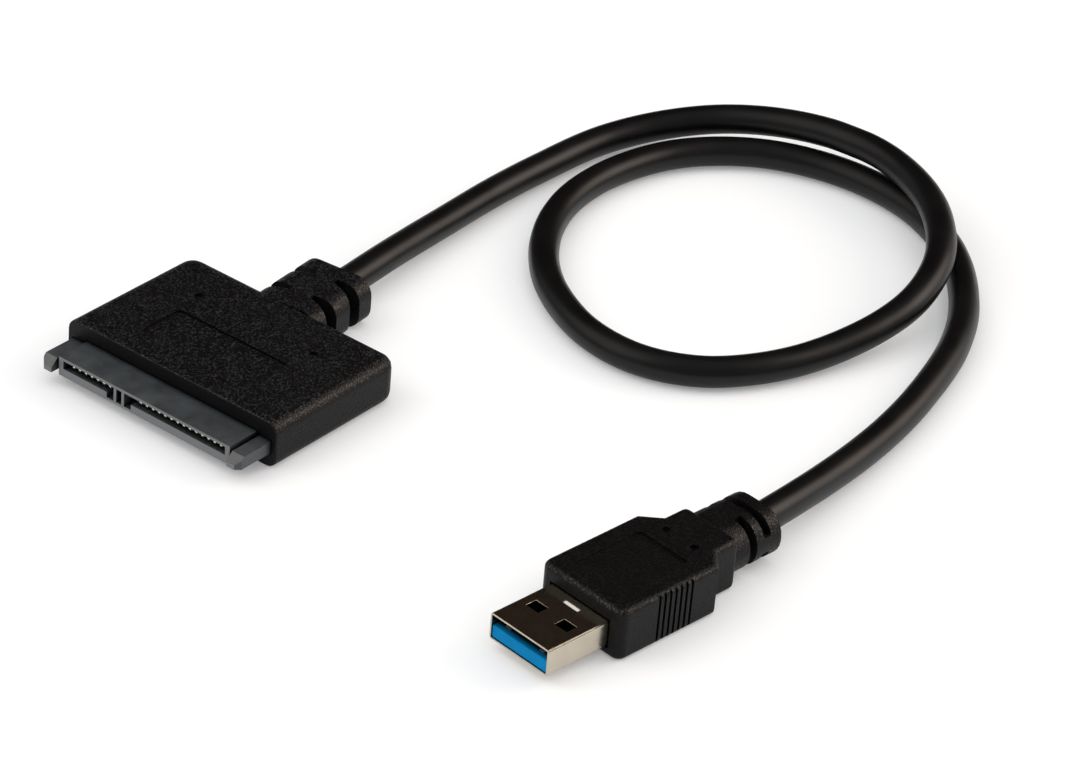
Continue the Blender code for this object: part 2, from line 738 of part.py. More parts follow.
def arm_taper(side):
    """Takes the top front edge off a guide arm, seen from the side as (y, z) points."""
    top = ARM_BOTTOM + ARM_HEIGHT
    low = top - ARM_TIP_TAPER
    front = -ARM_REACH
    wedge = (
        (front - CUT_OVER, low),
        (front, low),
        (front + ARM_TIP_TAPER, top),
        (front + ARM_TIP_TAPER, top + CUT_OVER),
        (front - CUT_OVER, top + CUT_OVER),
    )
    edges = sorted((side * (ARM_SPAN / 2 - ARM_WIDTH), side * (ARM_SPAN / 2 + CUT_OVER)))
    return prism_mesh([wedge], edges[0], edges[1], "X")


def slot_boxes():
    """The two tongue slots with their key legs, and the gap between them."""
    front = -RECEPTACLE_REACH - CUT_OVER
    key_floor = SLOT_BOTTOM - KEY_DROP
    boxes = []
    for (low_x, high_x), key_x in (
        (SIGNAL_SLOT, SIGNAL_SLOT[1] - KEY_WIDTH),
        (POWER_SLOT, POWER_SLOT[0]),
    ):
        boxes.append(((low_x, front, SLOT_BOTTOM), (high_x, SLOT_BACK, SLOT_TOP)))
        key = ((key_x, front, key_floor), (key_x + KEY_WIDTH, SLOT_BACK, SLOT_BOTTOM + FIT_GAP))
        boxes.append(key)
    split_low = SIGNAL_SLOT[1] + SPLIT_POST
    split_high = POWER_SLOT[0] - SPLIT_POST
    split_back = SPLIT_DEPTH - RECEPTACLE_REACH
    boxes.append(((split_low, front, key_floor), (split_high, split_back, SLOT_TOP)))
    return [box_mesh(box) for box in boxes]


def contact_places():
    """The name and x of each drive contact. The first power place is empty."""
    places = []
    for number in range(SIGNAL_CONTACTS):
        places.append((f"signal_contact_{number + 1}", FIRST_CONTACT_X + number * CONTACT_PITCH))
    for number in range(EMPTY_POWER_PLACES, POWER_CONTACTS):
        places.append((f"power_contact_{number + 1}", FIRST_POWER_X + number * CONTACT_PITCH))
    return places


def channel_boxes():
    """A channel for each contact through the receptacle's back wall, in one mesh."""
    half = CONTACT_WIDTH / 2 + CHANNEL_CLEARANCE
    low = CONTACT_Z - CONTACT_THICKNESS / 2 - CHANNEL_CLEARANCE
    high = CONTACT_Z + CONTACT_THICKNESS / 2 + CHANNEL_CLEARANCE
    boxes = []
    for _, x in contact_places():
        front = (x - half, SLOT_BACK - CUT_OVER, low)
        boxes.append((front, (x + half, RECEPTACLE_INSIDE + CUT_OVER, high)))
    return box_mesh(*boxes)


def make_receptacle(builder, drive_end):
    half = RECEPTACLE_WIDTH / 2
    body = (
        (-half, -RECEPTACLE_REACH, RECEPTACLE_BOTTOM),
        (half, RECEPTACLE_INSIDE, RECEPTACLE_TOP),
    )
    receptacle = builder.piece("drive_receptacle", box_mesh(body), "receptacle_grey", drive_end)
    arm_top = ARM_BOTTOM + ARM_HEIGHT
    arm_inner = ARM_SPAN / 2 - ARM_WIDTH
    for side in (-1, 1):
        builder.join(receptacle, prism_mesh([arm_outline(side)], ARM_BOTTOM, arm_top, "Z"))
        reach = sorted((side * (half - ARM_WIDTH / 2), side * (arm_inner + ARM_WIDTH / 2)))
        web_top = ARM_BOTTOM + ARM_WEB_HEIGHT
        web = (
            (reach[0], ARM_TIP_SLANT / 2 - RECEPTACLE_REACH, ARM_BOTTOM + FIT_GAP),
            (reach[1], RECEPTACLE_INSIDE - FIT_GAP, web_top),
        )
        root = (
            (reach[0], FIT_GAP, ARM_BOTTOM + FIT_GAP),
            (reach[1], RECEPTACLE_INSIDE - FIT_GAP, arm_top - FIT_GAP),
        )
        builder.join(receptacle, box_mesh(web), box_mesh(root))
        builder.cut(receptacle, arm_taper(side))
    builder.cut(receptacle, *slot_boxes(), channel_boxes())


def make_drive_contacts(builder, drive_end):
    """Bent strips: a tail on the board, a straight run through the wall and a spring in the slot."""
    tip_y = CONTACT_TIP_RECESS - RECEPTACLE_REACH
    low_z = CONTACT_Z - CONTACT_BEND
    path = (
        (RECEPTACLE_INSIDE + CONTACT_TAIL, CONTACT_Z),
        (SLOT_BACK, CONTACT_Z),
        (tip_y + CONTACT_TIP_LENGTH + CONTACT_CREST, low_z),
        (tip_y + CONTACT_TIP_LENGTH, low_z),
        (tip_y, low_z + CONTACT_TIP_RISE),
    )
    outline = strip_outline(path, CONTACT_THICKNESS)
    for name, x in contact_places():
        low, high = x - CONTACT_WIDTH / 2, x + CONTACT_WIDTH / 2
        builder.piece(name, prism_mesh([outline], low, high, "X"), "gold_contact", drive_end)


def make_board(builder, drive_end):
    half = BOARD_WIDTH / 2
    board = (
        (-half, BOARD_FRONT, BOARD_BOTTOM),
        (half, BOARD_FRONT + BOARD_LENGTH, BOARD_TOP),
    )
    builder.piece("circuit_board", box_mesh(board), "board_green", drive_end)
    for name, size, place, material in BOARD_PARTS:
        width, length, height = (value * MM for value in size)
        x, y = place[0] * MM, BOARD_FRONT + place[1] * MM
        low = (x - width / 2, y - length / 2, BOARD_TOP + SOLDER_GAP)
        high = (x + width / 2, y + length / 2, BOARD_TOP + SOLDER_GAP + height)
        builder.piece(name, box_mesh((low, high)), material, drive_end)


def wire_places():
    """The four wires' places across the bore, as (x, z) from its axis: two above, two below."""
    step = WIRE_SPREAD / 2
    return ((-step, step), (step, step), (-step, -step), (step, -step))


def wire_path(pad, frame, bore_start, bore_end, place):
    """From a pad, straight back, across to the bore in its own frame and straight along it."""
    x, y, z = pad
    bore_x, bore_z = place
    inside = frame @ Vector((bore_x, bore_start + WIRE_BEND_LENGTH / 2, bore_z))
    turn_y = max(inside.y - 3 * WIRE_BEND_LENGTH / 2, y + WIRE_OVERLAP)
    corners = (
        Vector((x, y, z)),
        Vector((x, turn_y, z)),
        inside,
        frame @ Vector((bore_x, bore_end, bore_z)),
    )
    points = [corners[0]]
    for step in range(WIRE_BEND_STEPS + 1):
        share = step / WIRE_BEND_STEPS
        eased = share * share * (3 - 2 * share)
        along = corners[1].lerp(corners[2], share)
        across = corners[1].lerp(corners[2], eased)
        points.append(Vector((across.x, along.y, across.z)))
    points.append(corners[3])
    return points


def make_drive_wires(builder, drive_end):
    pad_y = BOARD_FRONT + BOARD_LENGTH - WIRE_OVERLAP
    lift = SOLDER_GAP + WIRE_DIAMETER / 2
    for name, (across, up) in zip(WIRE_NAMES, wire_places()):
        pad_x = RELIEF_SIDE + math.copysign(WIRE_PAD_PITCH, across)
        pad_z = BOARD_TOP + lift if up > 0 else BOARD_BOTTOM - lift
        pad = (pad_x, pad_y, pad_z)
        place = (across, HOUSING_MID_Z + up)
        path = wire_path(pad, relief_frame(), -HOUSING_BACK_WALL, RELIEF_LENGTH, place)
        tube = tube_mesh(path, WIRE_DIAMETER, WIRE_RESOLUTION)
        builder.piece(f"drive_wire_{name}", tube, f"wire_{name}", drive_end)


def plug_outline():
    """The USB plug's moulding seen from above, as (x, y) points."""
    half = PLUG_WIDTH / 2
    neck = PLUG_NECK_WIDTH / 2
    body_end = SHELL_SHOWN + PLUG_LENGTH
    front = rounded_outline(
        (-half, SHELL_SHOWN), (half, body_end), (PLUG_FRONT_RADIUS, PLUG_FRONT_RADIUS, 0, 0)
    )
    right_and_front = front[:-1]
    left_back = front[-1]
    step = ((neck, NECK_FRONT), (neck, NECK_END), (-neck, NECK_END), (-neck, NECK_FRONT))
    return [*right_and_front, *step, left_back]


def make_plug_housing(builder, plug_end):
    mesh = prism_mesh([plug_outline()], 0.0, PLUG_HEIGHT, "Z")
    plug = builder.piece("usb_housing", mesh, "moulded_black", plug_end)
    bevel = plug.modifiers.new("edge_round", "BEVEL")
    bevel.limit_method = "ANGLE"
    bevel.angle_limit = BEVEL_ANGLE
    bevel.width = PLUG_ROUND
    bevel.segments = EDGE_SEGMENTS
    frame = boot_frame()
    boot_start = NECK_END - PLUG_NECK_LENGTH / 2
    section = relief_section(BOOT_WIDTH, BOOT_HEIGHT, BOOT_ROUND, PLUG_MID_Z)
    builder.join(plug, in_frame(frame, prism_mesh([section], boot_start, BOOT_END, "Y")))
    spans = slot_spans(NECK_END + BOOT_ROOT, BOOT_SLOT, BOOT_RING)
    for span, first_direction in zip(spans, (0, 90)):
        for direction in (first_direction, first_direction + 180):
            slot = slot_mesh(
                BOOT_BRIDGE, BOOT_CORE_RADIUS, BOOT_WIDTH, span, direction, PLUG_MID_Z
            )
            builder.cut(plug, in_frame(frame, slot))

    shell_half = SHELL_WIDTH / 2 + FIT_GAP
    seat = (
        (-shell_half, SHELL_SHOWN - CUT_OVER, SHELL_BOTTOM - FIT_GAP),
        (shell_half, SHELL_END + FIT_GAP, SHELL_BOTTOM + SHELL_HEIGHT + FIT_GAP),
    )
    cavity = (
        (-shell_half, SHELL_END, PLUG_MID_Z - PLUG_CAVITY_HEIGHT / 2),
        (shell_half, PLUG_CAVITY_END, PLUG_MID_Z + PLUG_CAVITY_HEIGHT / 2),
    )
    bore_span = (PLUG_CAVITY_END - CUT_OVER, BOOT_END + CUT_OVER)
    bore = bar_mesh(WIRE_BORE_RADIUS, *bore_span, PLUG_MID_Z, BORE_SEGMENTS)
    builder.cut(plug, box_mesh(seat), box_mesh(cavity), in_frame(frame, bore))
    cut_plug_marks(builder, plug)


def cut_plug_marks(builder, plug):
    """The sunk square panel, left bare, two pin marks behind it and the grip grooves."""
    front = SHELL_SHOWN + PLUG_PANEL_FROM_FRONT
    half = PLUG_PANEL_WIDTH / 2
    panel = rounded_outline(
        (-half, front),
        (half, front + PLUG_PANEL_LENGTH),
        (PANEL_RADIUS,) * 4,
        SMALL_CORNER_STEPS,
    )
    top = PLUG_HEIGHT
    mark_y = SHELL_SHOWN + PLUG_PIN_MARK_FROM_FRONT
    places = [(side * PLUG_PIN_MARK_SPACING / 2, mark_y) for side in (-1, 1)]
    builder.cut(
        plug,
        prism_mesh([panel], top - PANEL_DEPTH, top + CUT_OVER, "Z"),
        pin_mesh(PIN_MARK_RADIUS, places, top - PIN_MARK_DEPTH, top + CUT_OVER),
    )
    grooves = []
    for number in range(GRIP_GROOVES):
        y = SHELL_SHOWN + GRIP_FROM_FRONT + number * GRIP_PITCH
        for side in (-1, 1):
            edges = sorted((side * (PLUG_WIDTH / 2 - GRIP_DEPTH), side * (PLUG_WIDTH / 2 + CUT_OVER)))
            grooves.append(((edges[0], y, -CUT_OVER), (edges[1], y + GRIP_WIDTH, top + CUT_OVER)))
    builder.cut(plug, box_mesh(*grooves))


def make_usb_shell(builder, plug_end):
    """A folded steel sleeve with two windows above and two below, and one small slot above."""
    half = SHELL_WIDTH / 2
    top = SHELL_BOTTOM + SHELL_HEIGHT
    outer = rounded_outline(
        (-half, SHELL_BOTTOM), (half, top), (SHELL_RADIUS,) * 4, SHELL_OUTER_STEPS
    )
    inner = rounded_outline(
        (-half + SHELL_WALL, SHELL_BOTTOM + SHELL_WALL),
        (half - SHELL_WALL, top - SHELL_WALL),
        (SHELL_RADIUS - SHELL_WALL,) * 4,
        SHELL_INNER_STEPS,
    )
    mesh = prism_mesh([outer, inner], 0.0, SHELL_END, "Y")
    shell = builder.piece("usb_shell", mesh, "shell_nickel", plug_end)
    windows = []
    for side in (-1, 1):
        x = side * WINDOW_SPACING / 2
        low = (x - WINDOW_WIDTH / 2, WINDOW_FROM_FRONT, SHELL_BOTTOM - CUT_OVER)
        high = (x + WINDOW_WIDTH / 2, WINDOW_FROM_FRONT + WINDOW_LENGTH, top + CUT_OVER)
        windows.append((low, high))
    slot_low = (-SPRING_SLOT_WIDTH / 2, SPRING_SLOT_FROM_FRONT, PLUG_MID_Z)
    slot_end = SPRING_SLOT_FROM_FRONT + SPRING_SLOT_LENGTH
    windows.append((slot_low, (SPRING_SLOT_WIDTH / 2, slot_end, top + CUT_OVER)))
    builder.cut(shell, box_mesh(*windows))


def make_usb_tongue(builder, plug_end):
    half = SHELL_WIDTH / 2 - SHELL_WALL - TONGUE_GAP
    low = (-half, TONGUE_RECESS, TONGUE_BOTTOM)
    high = (half, SHELL_END, TONGUE_TOP)
    builder.piece("usb_tongue", box_mesh((low, high)), "tongue_blue", plug_end)


def raised_contact_places():
    first = -(RAISED_CONTACTS - 1) / 2 * RAISED_CONTACT_PITCH
    return [first + number * RAISED_CONTACT_PITCH for number in range(RAISED_CONTACTS)]


def make_usb_contacts(builder, plug_end):
    """Four flat strips, the inner two set back, and five raised springs behind them."""
    low_z = TONGUE_TOP + USB_CONTACT_GAP
    high_z = low_z + USB_CONTACT_THICKNESS
    outermost = max(FLAT_CONTACT_PLACES)
    for number, x in enumerate(FLAT_CONTACT_PLACES, start=1):
        setback = 0.0 if abs(x) == outermost else DATA_CONTACT_SETBACK
        low = (x - FLAT_CONTACT_WIDTH / 2, FLAT_CONTACT_FRONT + setback, low_z)
        high = (x + FLAT_CONTACT_WIDTH / 2, FLAT_CONTACT_FRONT + FLAT_CONTACT_LENGTH, high_z)
        builder.piece(f"flat_contact_{number}", box_mesh((low, high)), "gold_contact", plug_end)
    middle_z = (low_z + high_z) / 2
    crest_start = RAISED_CONTACT_FRONT + RAISED_CONTACT_RAMP
    crest_end = crest_start + RAISED_CONTACT_CREST
    path = (
        (RAISED_CONTACT_FRONT, middle_z),
        (crest_start, middle_z + RAISED_CONTACT_RISE),
        (crest_end, middle_z + RAISED_CONTACT_RISE),
        (crest_end + RAISED_CONTACT_RAMP, middle_z),
        (SHELL_END, middle_z),
    )
    outline = strip_outline(path, USB_CONTACT_THICKNESS)
    for number, x in enumerate(raised_contact_places(), start=1):
        span = (x - RAISED_CONTACT_WIDTH / 2, x + RAISED_CONTACT_WIDTH / 2)
        mesh = prism_mesh([outline], *span, "X")
        builder.piece(f"raised_contact_{number}", mesh, "gold_contact", plug_end)


def make_plug_wires(builder, plug_end):
    """The wires run back from the tongue's end to the cord."""
    pad_y = SHELL_END + SOLDER_GAP
    for name, (across, up) in zip(WIRE_NAMES, wire_places()):
        pad_x = math.copysign(WIRE_PAD_PITCH, across)
        pad_z = TONGUE_TOP - WIRE_DIAMETER / 2 - (0 if up > 0 else WIRE_SPREAD)
        place = (across, PLUG_MID_Z + up)
        path = wire_path((pad_x, pad_y, pad_z), boot_frame(), PLUG_CAVITY_END, BOOT_END, place)
        tube = tube_mesh(path, WIRE_DIAMETER, WIRE_RESOLUTION)
        builder.piece(f"plug_wire_{name}", tube, f"wire_{name}", plug_end)


def cord_points():
    """The cord's points from one strain relief to the other, leaving each along its axis."""
    face = Vector((0.0, FACE_Y, 0.0))
    drive_end = Matrix.Translation(face) @ relief_frame()
    plug_end = Matrix.Translation(PLUG_PLACE) @ Matrix.Rotation(PLUG_TURN, 4, "Z") @ boot_frame()
    start = Vector((0.0, RELIEF_LENGTH + CORD_GAP, HOUSING_MID_Z))
    end = Vector((0.0, BOOT_END + CORD_GAP, PLUG_MID_Z))
    lead = Vector((0.0, CORD_LEAD, 0.0))
    route = [face + Vector(point) * MM for point in CORD_ROUTE]
    course = smooth_curve([drive_end @ (start + lead), *route, plug_end @ (end + lead)])
    return [drive_end @ start, *evenly_spaced(course, CORD_STEP), plug_end @ end]


def make_cord(builder):
    tube = tube_mesh(cord_points(), CORD_DIAMETER, CORD_RESOLUTION)
    builder.piece("cord", tube, "jacket_black", None)


def build():
    clear_scene()
    builder = Builder()
    drive_end = empty_at("drive_end", builder.parts, (0.0, FACE_Y, 0.0))
    plug_end = empty_at("plug_end", builder.parts, PLUG_PLACE, PLUG_TURN)
    make_drive_housing(builder, drive_end)
    make_receptacle(builder, drive_end)
    make_drive_contacts(builder, drive_end)
    make_board(builder, drive_end)
    make_drive_wires(builder, drive_end)
    make_plug_housing(builder, plug_end)
    make_usb_shell(builder, plug_end)
    make_usb_tongue(builder, plug_end)
    make_usb_contacts(builder, plug_end)
    make_plug_wires(builder, plug_end)
    make_cord(builder)


if __name__ == "__main__":
    build()
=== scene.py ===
"""The looks of a USB to SATA adapter, built round its CAD frame.

Metres, +Z up, the CAD model's own frame: the drive end stands at the origin and faces -Y, and the USB
plug lies beside it, turned a little. Each operator makes one piece or group of pieces.
"""

import json
import math

import bmesh
import bpy
from mathutils import Matrix, Vector


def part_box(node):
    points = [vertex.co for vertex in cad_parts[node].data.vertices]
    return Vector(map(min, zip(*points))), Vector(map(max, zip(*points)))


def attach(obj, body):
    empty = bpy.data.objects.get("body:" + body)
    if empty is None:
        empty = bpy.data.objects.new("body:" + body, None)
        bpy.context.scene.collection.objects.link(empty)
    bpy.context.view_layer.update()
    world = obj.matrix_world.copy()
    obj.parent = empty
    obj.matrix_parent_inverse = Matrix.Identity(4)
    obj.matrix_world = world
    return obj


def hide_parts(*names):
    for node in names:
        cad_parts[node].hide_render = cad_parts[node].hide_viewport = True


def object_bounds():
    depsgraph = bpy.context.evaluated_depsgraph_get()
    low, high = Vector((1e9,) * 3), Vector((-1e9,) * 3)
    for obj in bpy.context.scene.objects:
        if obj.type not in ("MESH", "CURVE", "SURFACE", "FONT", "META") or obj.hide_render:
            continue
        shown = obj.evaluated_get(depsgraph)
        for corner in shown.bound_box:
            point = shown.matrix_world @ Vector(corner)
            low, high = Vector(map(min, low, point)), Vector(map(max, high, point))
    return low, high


bl_info = {
    "name": "USB to SATA adapter",
    "version": (1, 0, 0),
    "blender": (4, 5, 0),
    "location": "View3D > Sidebar > Adapter",
    "description": "Builds the finished surfaces of a drive adapter and its cord round the CAD frame",
    "category": "Add Mesh",
}

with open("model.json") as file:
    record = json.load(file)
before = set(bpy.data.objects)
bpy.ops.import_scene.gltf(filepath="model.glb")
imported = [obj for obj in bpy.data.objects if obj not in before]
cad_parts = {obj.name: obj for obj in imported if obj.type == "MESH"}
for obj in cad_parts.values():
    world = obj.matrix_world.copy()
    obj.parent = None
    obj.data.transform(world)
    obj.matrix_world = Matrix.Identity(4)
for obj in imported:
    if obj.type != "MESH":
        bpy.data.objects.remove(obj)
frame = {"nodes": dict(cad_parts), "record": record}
NODES = frame["nodes"]
CAD_BOX = [list(corner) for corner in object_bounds()]

MM = 0.001
BODY = "root"

# Meshes: edges sharper than the first angle are rounded, a corner squarer than the second may be
# chosen for a wider rounding, and faces that meet flatter than the third are one face. Points
# nearer than the first distance are one point, and nearer than the second to a plane lie on it
SHARP_ANGLE = math.radians(30)
SQUARE_ANGLE = math.radians(60)
FLAT_ANGLE = math.radians(0.5)
EDGE_SEGMENTS = 2
RIM_SEGMENTS = 3
MERGE_DISTANCE = 0.001 * MM
NEAR = 0.002 * MM

# A height inside both ends' bodies, from which their front rims face outward
BODY_MIDDLE = 4.0 * MM

# Places that the frame gives
MOUNTS = {mount["name"]: mount for mount in frame["record"]["mounts"]}
HOUSING_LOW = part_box("drive_housing")[0]
SHELL_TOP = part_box("usb_shell")[1].z
PLUG_MOUTH = Vector(MOUNTS["usb_mating_face"]["pos_m"])
PLUG_OUTWARD = Vector(MOUNTS["usb_mating_face"]["axis"])
PLUG_TURN = math.atan2(-PLUG_OUTWARD.x, -PLUG_OUTWARD.y)
DRIVE_FRAME = Matrix.Translation((0.0, HOUSING_LOW.y, 0.0))
PLUG_FRAME = Matrix.Translation((PLUG_MOUTH.x, PLUG_MOUTH.y, 0.0)) @ Matrix.Rotation(
    -PLUG_TURN, 4, "Z"
)

# Strain reliefs: where each stands in its end's own frame, and the height of its middle
HOUSING_DEPTH = 28.2 * MM
RELIEF_LENGTH = 13.4 * MM
RELIEF_SIDE = -1.2 * MM
RELIEF_LEAN = math.radians(5.0)
RELIEF_MIDDLE = 4.0 * MM
BOOT_END = 48.4 * MM
BOOT_SIDE = -0.3 * MM
BOOT_MIDDLE = 4.6 * MM
RELIEF_FRAME = (
    DRIVE_FRAME
    @ Matrix.Translation((RELIEF_SIDE, HOUSING_DEPTH, RELIEF_MIDDLE))
    @ Matrix.Rotation(RELIEF_LEAN, 4, "Z")
)
BOOT_FRAME = PLUG_FRAME @ Matrix.Translation((BOOT_SIDE, 0.0, BOOT_MIDDLE))

# Cord: the route's own points between the two strain reliefs, in millimetres, y measured back from
# the drive housing's front face
CORD_INSIDE = 3.0 * MM
CORD_LEAD = 2.0 * MM
CORD_STEP = 1.5 * MM
CORD_COURSE_STEPS = 24
CORD_ROUND_STEPS = 8
CORD_MARGIN = 0.02 * MM
CORD_ROUTE = (
    (-3.5, 54.2, 3.9),
    (-4.3, 61.7, 3.5),
    (-5.1, 71.6, 3.1),
    (-5.9, 84.3, 2.8),
    (-5.9, 96.4, 2.6),
    (-4.0, 112.0, 3.1),
    (0.8, 122.4, 4.0),
    (7.9, 129.7, 5.3),
    (17.4, 134.3, 6.7),
    (28.6, 136.4, 7.7),
    (39.0, 135.5, 8.0),
    (50.1, 130.4, 8.0),
    (58.5, 122.7, 8.0),
    (64.3, 113.7, 7.4),
    (66.8, 104.0, 5.8),
    (66.2, 95.0, 4.2),
    (63.0, 83.0, 2.8),
    (58.7, 73.1, 2.6),
    (52.4, 65.4, 2.6),
    (43.5, 61.3, 2.6),
    (32.5, 62.0, 2.6),
    (19.3, 69.0, 2.6),
    (9.9, 79.5, 2.6),
    (4.5, 92.0, 2.6),
    (3.7, 105.5, 2.6),
    (7.8, 119.1, 2.6),
    (17.4, 129.3, 2.6),
    (30.8, 134.1, 2.6),
    (45.0, 133.2, 2.6),
    (59.1, 125.9, 2.6),
    (70.6, 113.1, 2.6),
    (77.2, 100.2, 2.6),
    (81.8, 83.5, 2.6),
    (83.5, 73.6, 2.6),
    (84.5, 64.0, 2.8),
    (85.2, 53.7, 3.4),
    (85.6, 45.3, 4.1),
)

# Drive contacts: a spring's path from its tail to its tip as y from the face, z and width, in mm
CONTACT_PITCH = 1.27 * MM
CONTACT_THICKNESS = 0.2 * MM
CONTACT_EDGE = 0.03 * MM
CONTACT_EDGE_SEGMENTS = 1
CONTACT_PATH = (
    (4.2, 4.45, 0.65),
    (-0.8, 4.45, 0.65),
    (-3.8, 3.74, 0.6),
    (-4.9, 3.68, 0.5),
    (-5.16, 3.78, 0.48),
    (-5.2, 4.22, 0.46),
)

# The pale pad in the shell's cross slot: its middle from the shell's front edge, and its size
PAD_FROM_FRONT = 10.2 * MM
PAD_SIZE = (3.0 * MM, 0.54 * MM, 0.3 * MM)
PAD_DROP = 0.04 * MM
PAD_ROUND = 0.24 * MM
PAD_EDGE = 0.06 * MM
PAD_ROUND_STEPS = 6

# Camera at the photograph's viewing angle
CAMERA_AZIMUTH = math.radians(36.24)
CAMERA_ELEVATION = math.radians(32.27)
CAMERA_ROLL = math.radians(5.019)
CAMERA_TARGET = DRIVE_FRAME @ Vector((34.44 * MM, 48.02 * MM, 0.0))
CAMERA_DISTANCE = 670.3 * MM
CAMERA_LENS = 142.37
CAMERA_SENSOR = 36.0
CAMERA_NEAR = 10.0 * MM


def to_linear(text):
    """The linear red, green and blue of an sRGB hex colour such as #0a0b0c."""
    values = [int(text[start : start + 2], 16) / 255 for start in (1, 3, 5)]
    return tuple(v / 12.92 if v <= 0.04045 else ((v + 0.055) / 1.055) ** 2.4 for v in values)


def sidebar_length(name, description, value, low=0.0, high=1.0):
    """A length that the sidebar can set."""
    return bpy.props.FloatProperty(
        name=name,
        description=description,
        default=value,
        min=low,
        max=high,
        unit="LENGTH",
        precision=5,
    )


class AdapterSizes(bpy.types.PropertyGroup):
    cord_diameter: sidebar_length(
        "Cord diameter", "Outside diameter of the round cord", 5.1 * MM, 2.0 * MM, 8.0 * MM
    )
    moulding_edge: sidebar_length("Moulding edge", "Radius of the mouldings' small edges", 0.2 * MM)
    receptacle_edge: sidebar_length("Receptacle edge", "Radius of the receptacle's edges", 0.09 * MM)
    sheet_edge: sidebar_length("Sheet edge", "Radius of the steel shell's stamped edges", 0.11 * MM)
    housing_rim: sidebar_length("Housing rim", "Radius of the drive housing's front edges", 0.26 * MM)
    shell_rim: sidebar_length("Shell rim", "Radius of the shell's front rim and top openings", 0.1 * MM)
    grain: sidebar_length("Grain", "Distance between two peaks of the mouldings' grain", 0.3 * MM)


def colour(name, description, text):
    """A colour that the sidebar can set."""
    return bpy.props.FloatVectorProperty(
        name=name,
        description=description,
        default=to_linear(text),
        size=3,
        min=0.0,
        max=1.0,
        subtype="COLOR",
    )


class AdapterColours(bpy.types.PropertyGroup):
    moulding: colour("Moulding", "Black plastic of both mouldings", "#0b0b0c")
    jacket: colour("Jacket", "Black jacket of the cord", "#0a0a0b")
    receptacle: colour("Receptacle", "Dark grey plastic of the receptacle", "#3e4245")
    nickel: colour("Nickel", "Plating of the plug's steel shell", "#c8bfae")
    tongue: colour("Tongue", "Blue plastic of the plug's tongue", "#0084c0")
    gold: colour("Gold", "Plating of the contacts", "#fbf3e2")
    floor: colour("Floor", "Floor under the adapter", "#ecedee")


# Finishes: the range that a noise's values mostly keep to, and the detail of the finer noises
NOISE_SPAN = (0.3, 0.7)
FINE_DETAIL = 3.0

# Clouded finishes: how far their two tones go from the piece's colour, the clouds' size, detail and
# grit, and the roughness in the one tone and in the other
CLOUDS = {
    "receptacle_pbt": ((0.7, 1.25), 3.5 * MM, 4.0, 0.6, (0.34, 0.48)),
    "cord_jacket_pvc": ((0.8, 1.2), 7.0 * MM, 2.0, 0.5, (0.34, 0.42)),
    "blue_pbt": ((0.9, 1.05), 2.5 * MM, 2.0, 0.5, (0.4, 0.5)),
    "gold_plated_copper": ((0.9, 1.0), 0.4 * MM, 2.0, 0.5, (0.2, 0.34)),
    # The plug's contacts' gold, darkened by painted shade inside the shell
    "tarnished_gold": ((0.9, 1.0), 0.4 * MM, 2.0, 0.5, (0.24, 0.36)),
}

# Mouldings: the noise at which a tip of the grain, and the painted glint on it, begins and is full,
# and how far a normal turns up before the grain and its painted glints show in full
GLINT_TIP_SPAN = (0.52, 0.64)
GRAIN_FACING = (0.6, 0.95)

# Mouldings: tones as shares of the plastic's own, the painted glints on tips by moulding, and the
# sheen, the roughness in dips and on tips, and the grain's depth and its strength on sides and on tops
GLINT_TONE_ON_TIPS = {"moulded_pvc": 11.0, "plug_pvc": 3.5}
TONE_IN_DIPS = 0.2
TONE_ON_SIDES = 1.2
SHOULDER_HIGHLIGHT_DIPS = 1.5
MOULDING_SHEEN = 0.14
MOULDING_ROUGHNESS = (0.55, 0.36)
GRAIN_DEPTH = 0.2 * MM
GRAIN_STRENGTH = (0.4, 1.0)

# Mouldings: the normal's rise over which the painted highlight on shoulders begins and ends, and
# its tips' colour
SHOULDER_HIGHLIGHT_LOW = (0.2, 0.45)
SHOULDER_HIGHLIGHT_HIGH = (0.97, 0.8)
SHOULDER_HIGHLIGHT = "#443e39"

# Slots: how near another surface has to be to darken them, and how open a place is where the shade
# is full and where it begins
SLOT_SHADE = 1.6 * MM
SHADE_SPAN = (0.35, 0.85)
SHADE_SAMPLES = 8
BLACK = (0.0, 0.0, 0.0)

# Receptacle: how far a face turns to the front before it gets a paler painted highlight, its colour
# then, and the fibres under its skin
FRONT_HIGHLIGHT_FACING = (-0.85, -0.98)
FRONT_HIGHLIGHT_GREY = "#6c6e71"
FIBRE_SIZE = 0.25 * MM
FIBRE_DEPTH = 0.02 * MM
FIBRE_STRENGTH = 0.5

# Cord jacket: its sheen, and the fine skin that extruding leaves
JACKET_SHEEN = 0.26
SKIN_SIZE = 0.35 * MM
SKIN_DEPTH = 0.012 * MM
SKIN_STRENGTH = 0.5

# Plug's shell: its stains, and the lines that rolling drew out along it
STAIN_SIZE = 3.0 * MM
STAIN_TONE = 0.9
ROLL_SIZE = 0.2 * MM
ROLL_STRETCH = (1.0, 0.12, 1.0)
ROLL_ROUGHNESS = (0.16, 0.26)
ROLL_DEPTH = 0.004 * MM
ROLL_STRENGTH = 0.4

# Tongue: its sheen, where its blue darkens behind its front face, and what it darkens to
TONGUE_SHEEN = 0.05
TONGUE_SHADE = (0.2 * MM, 1.4 * MM)
TONGUE_DEEP = "#03141f"

# Plug's contacts: where painted shade darkens them inside the shell, and the shade's colour
CONTACT_SHADE = (1.9 * MM, 3.0 * MM)
CONTACT_SHADE_TONE = "#0d0a06"

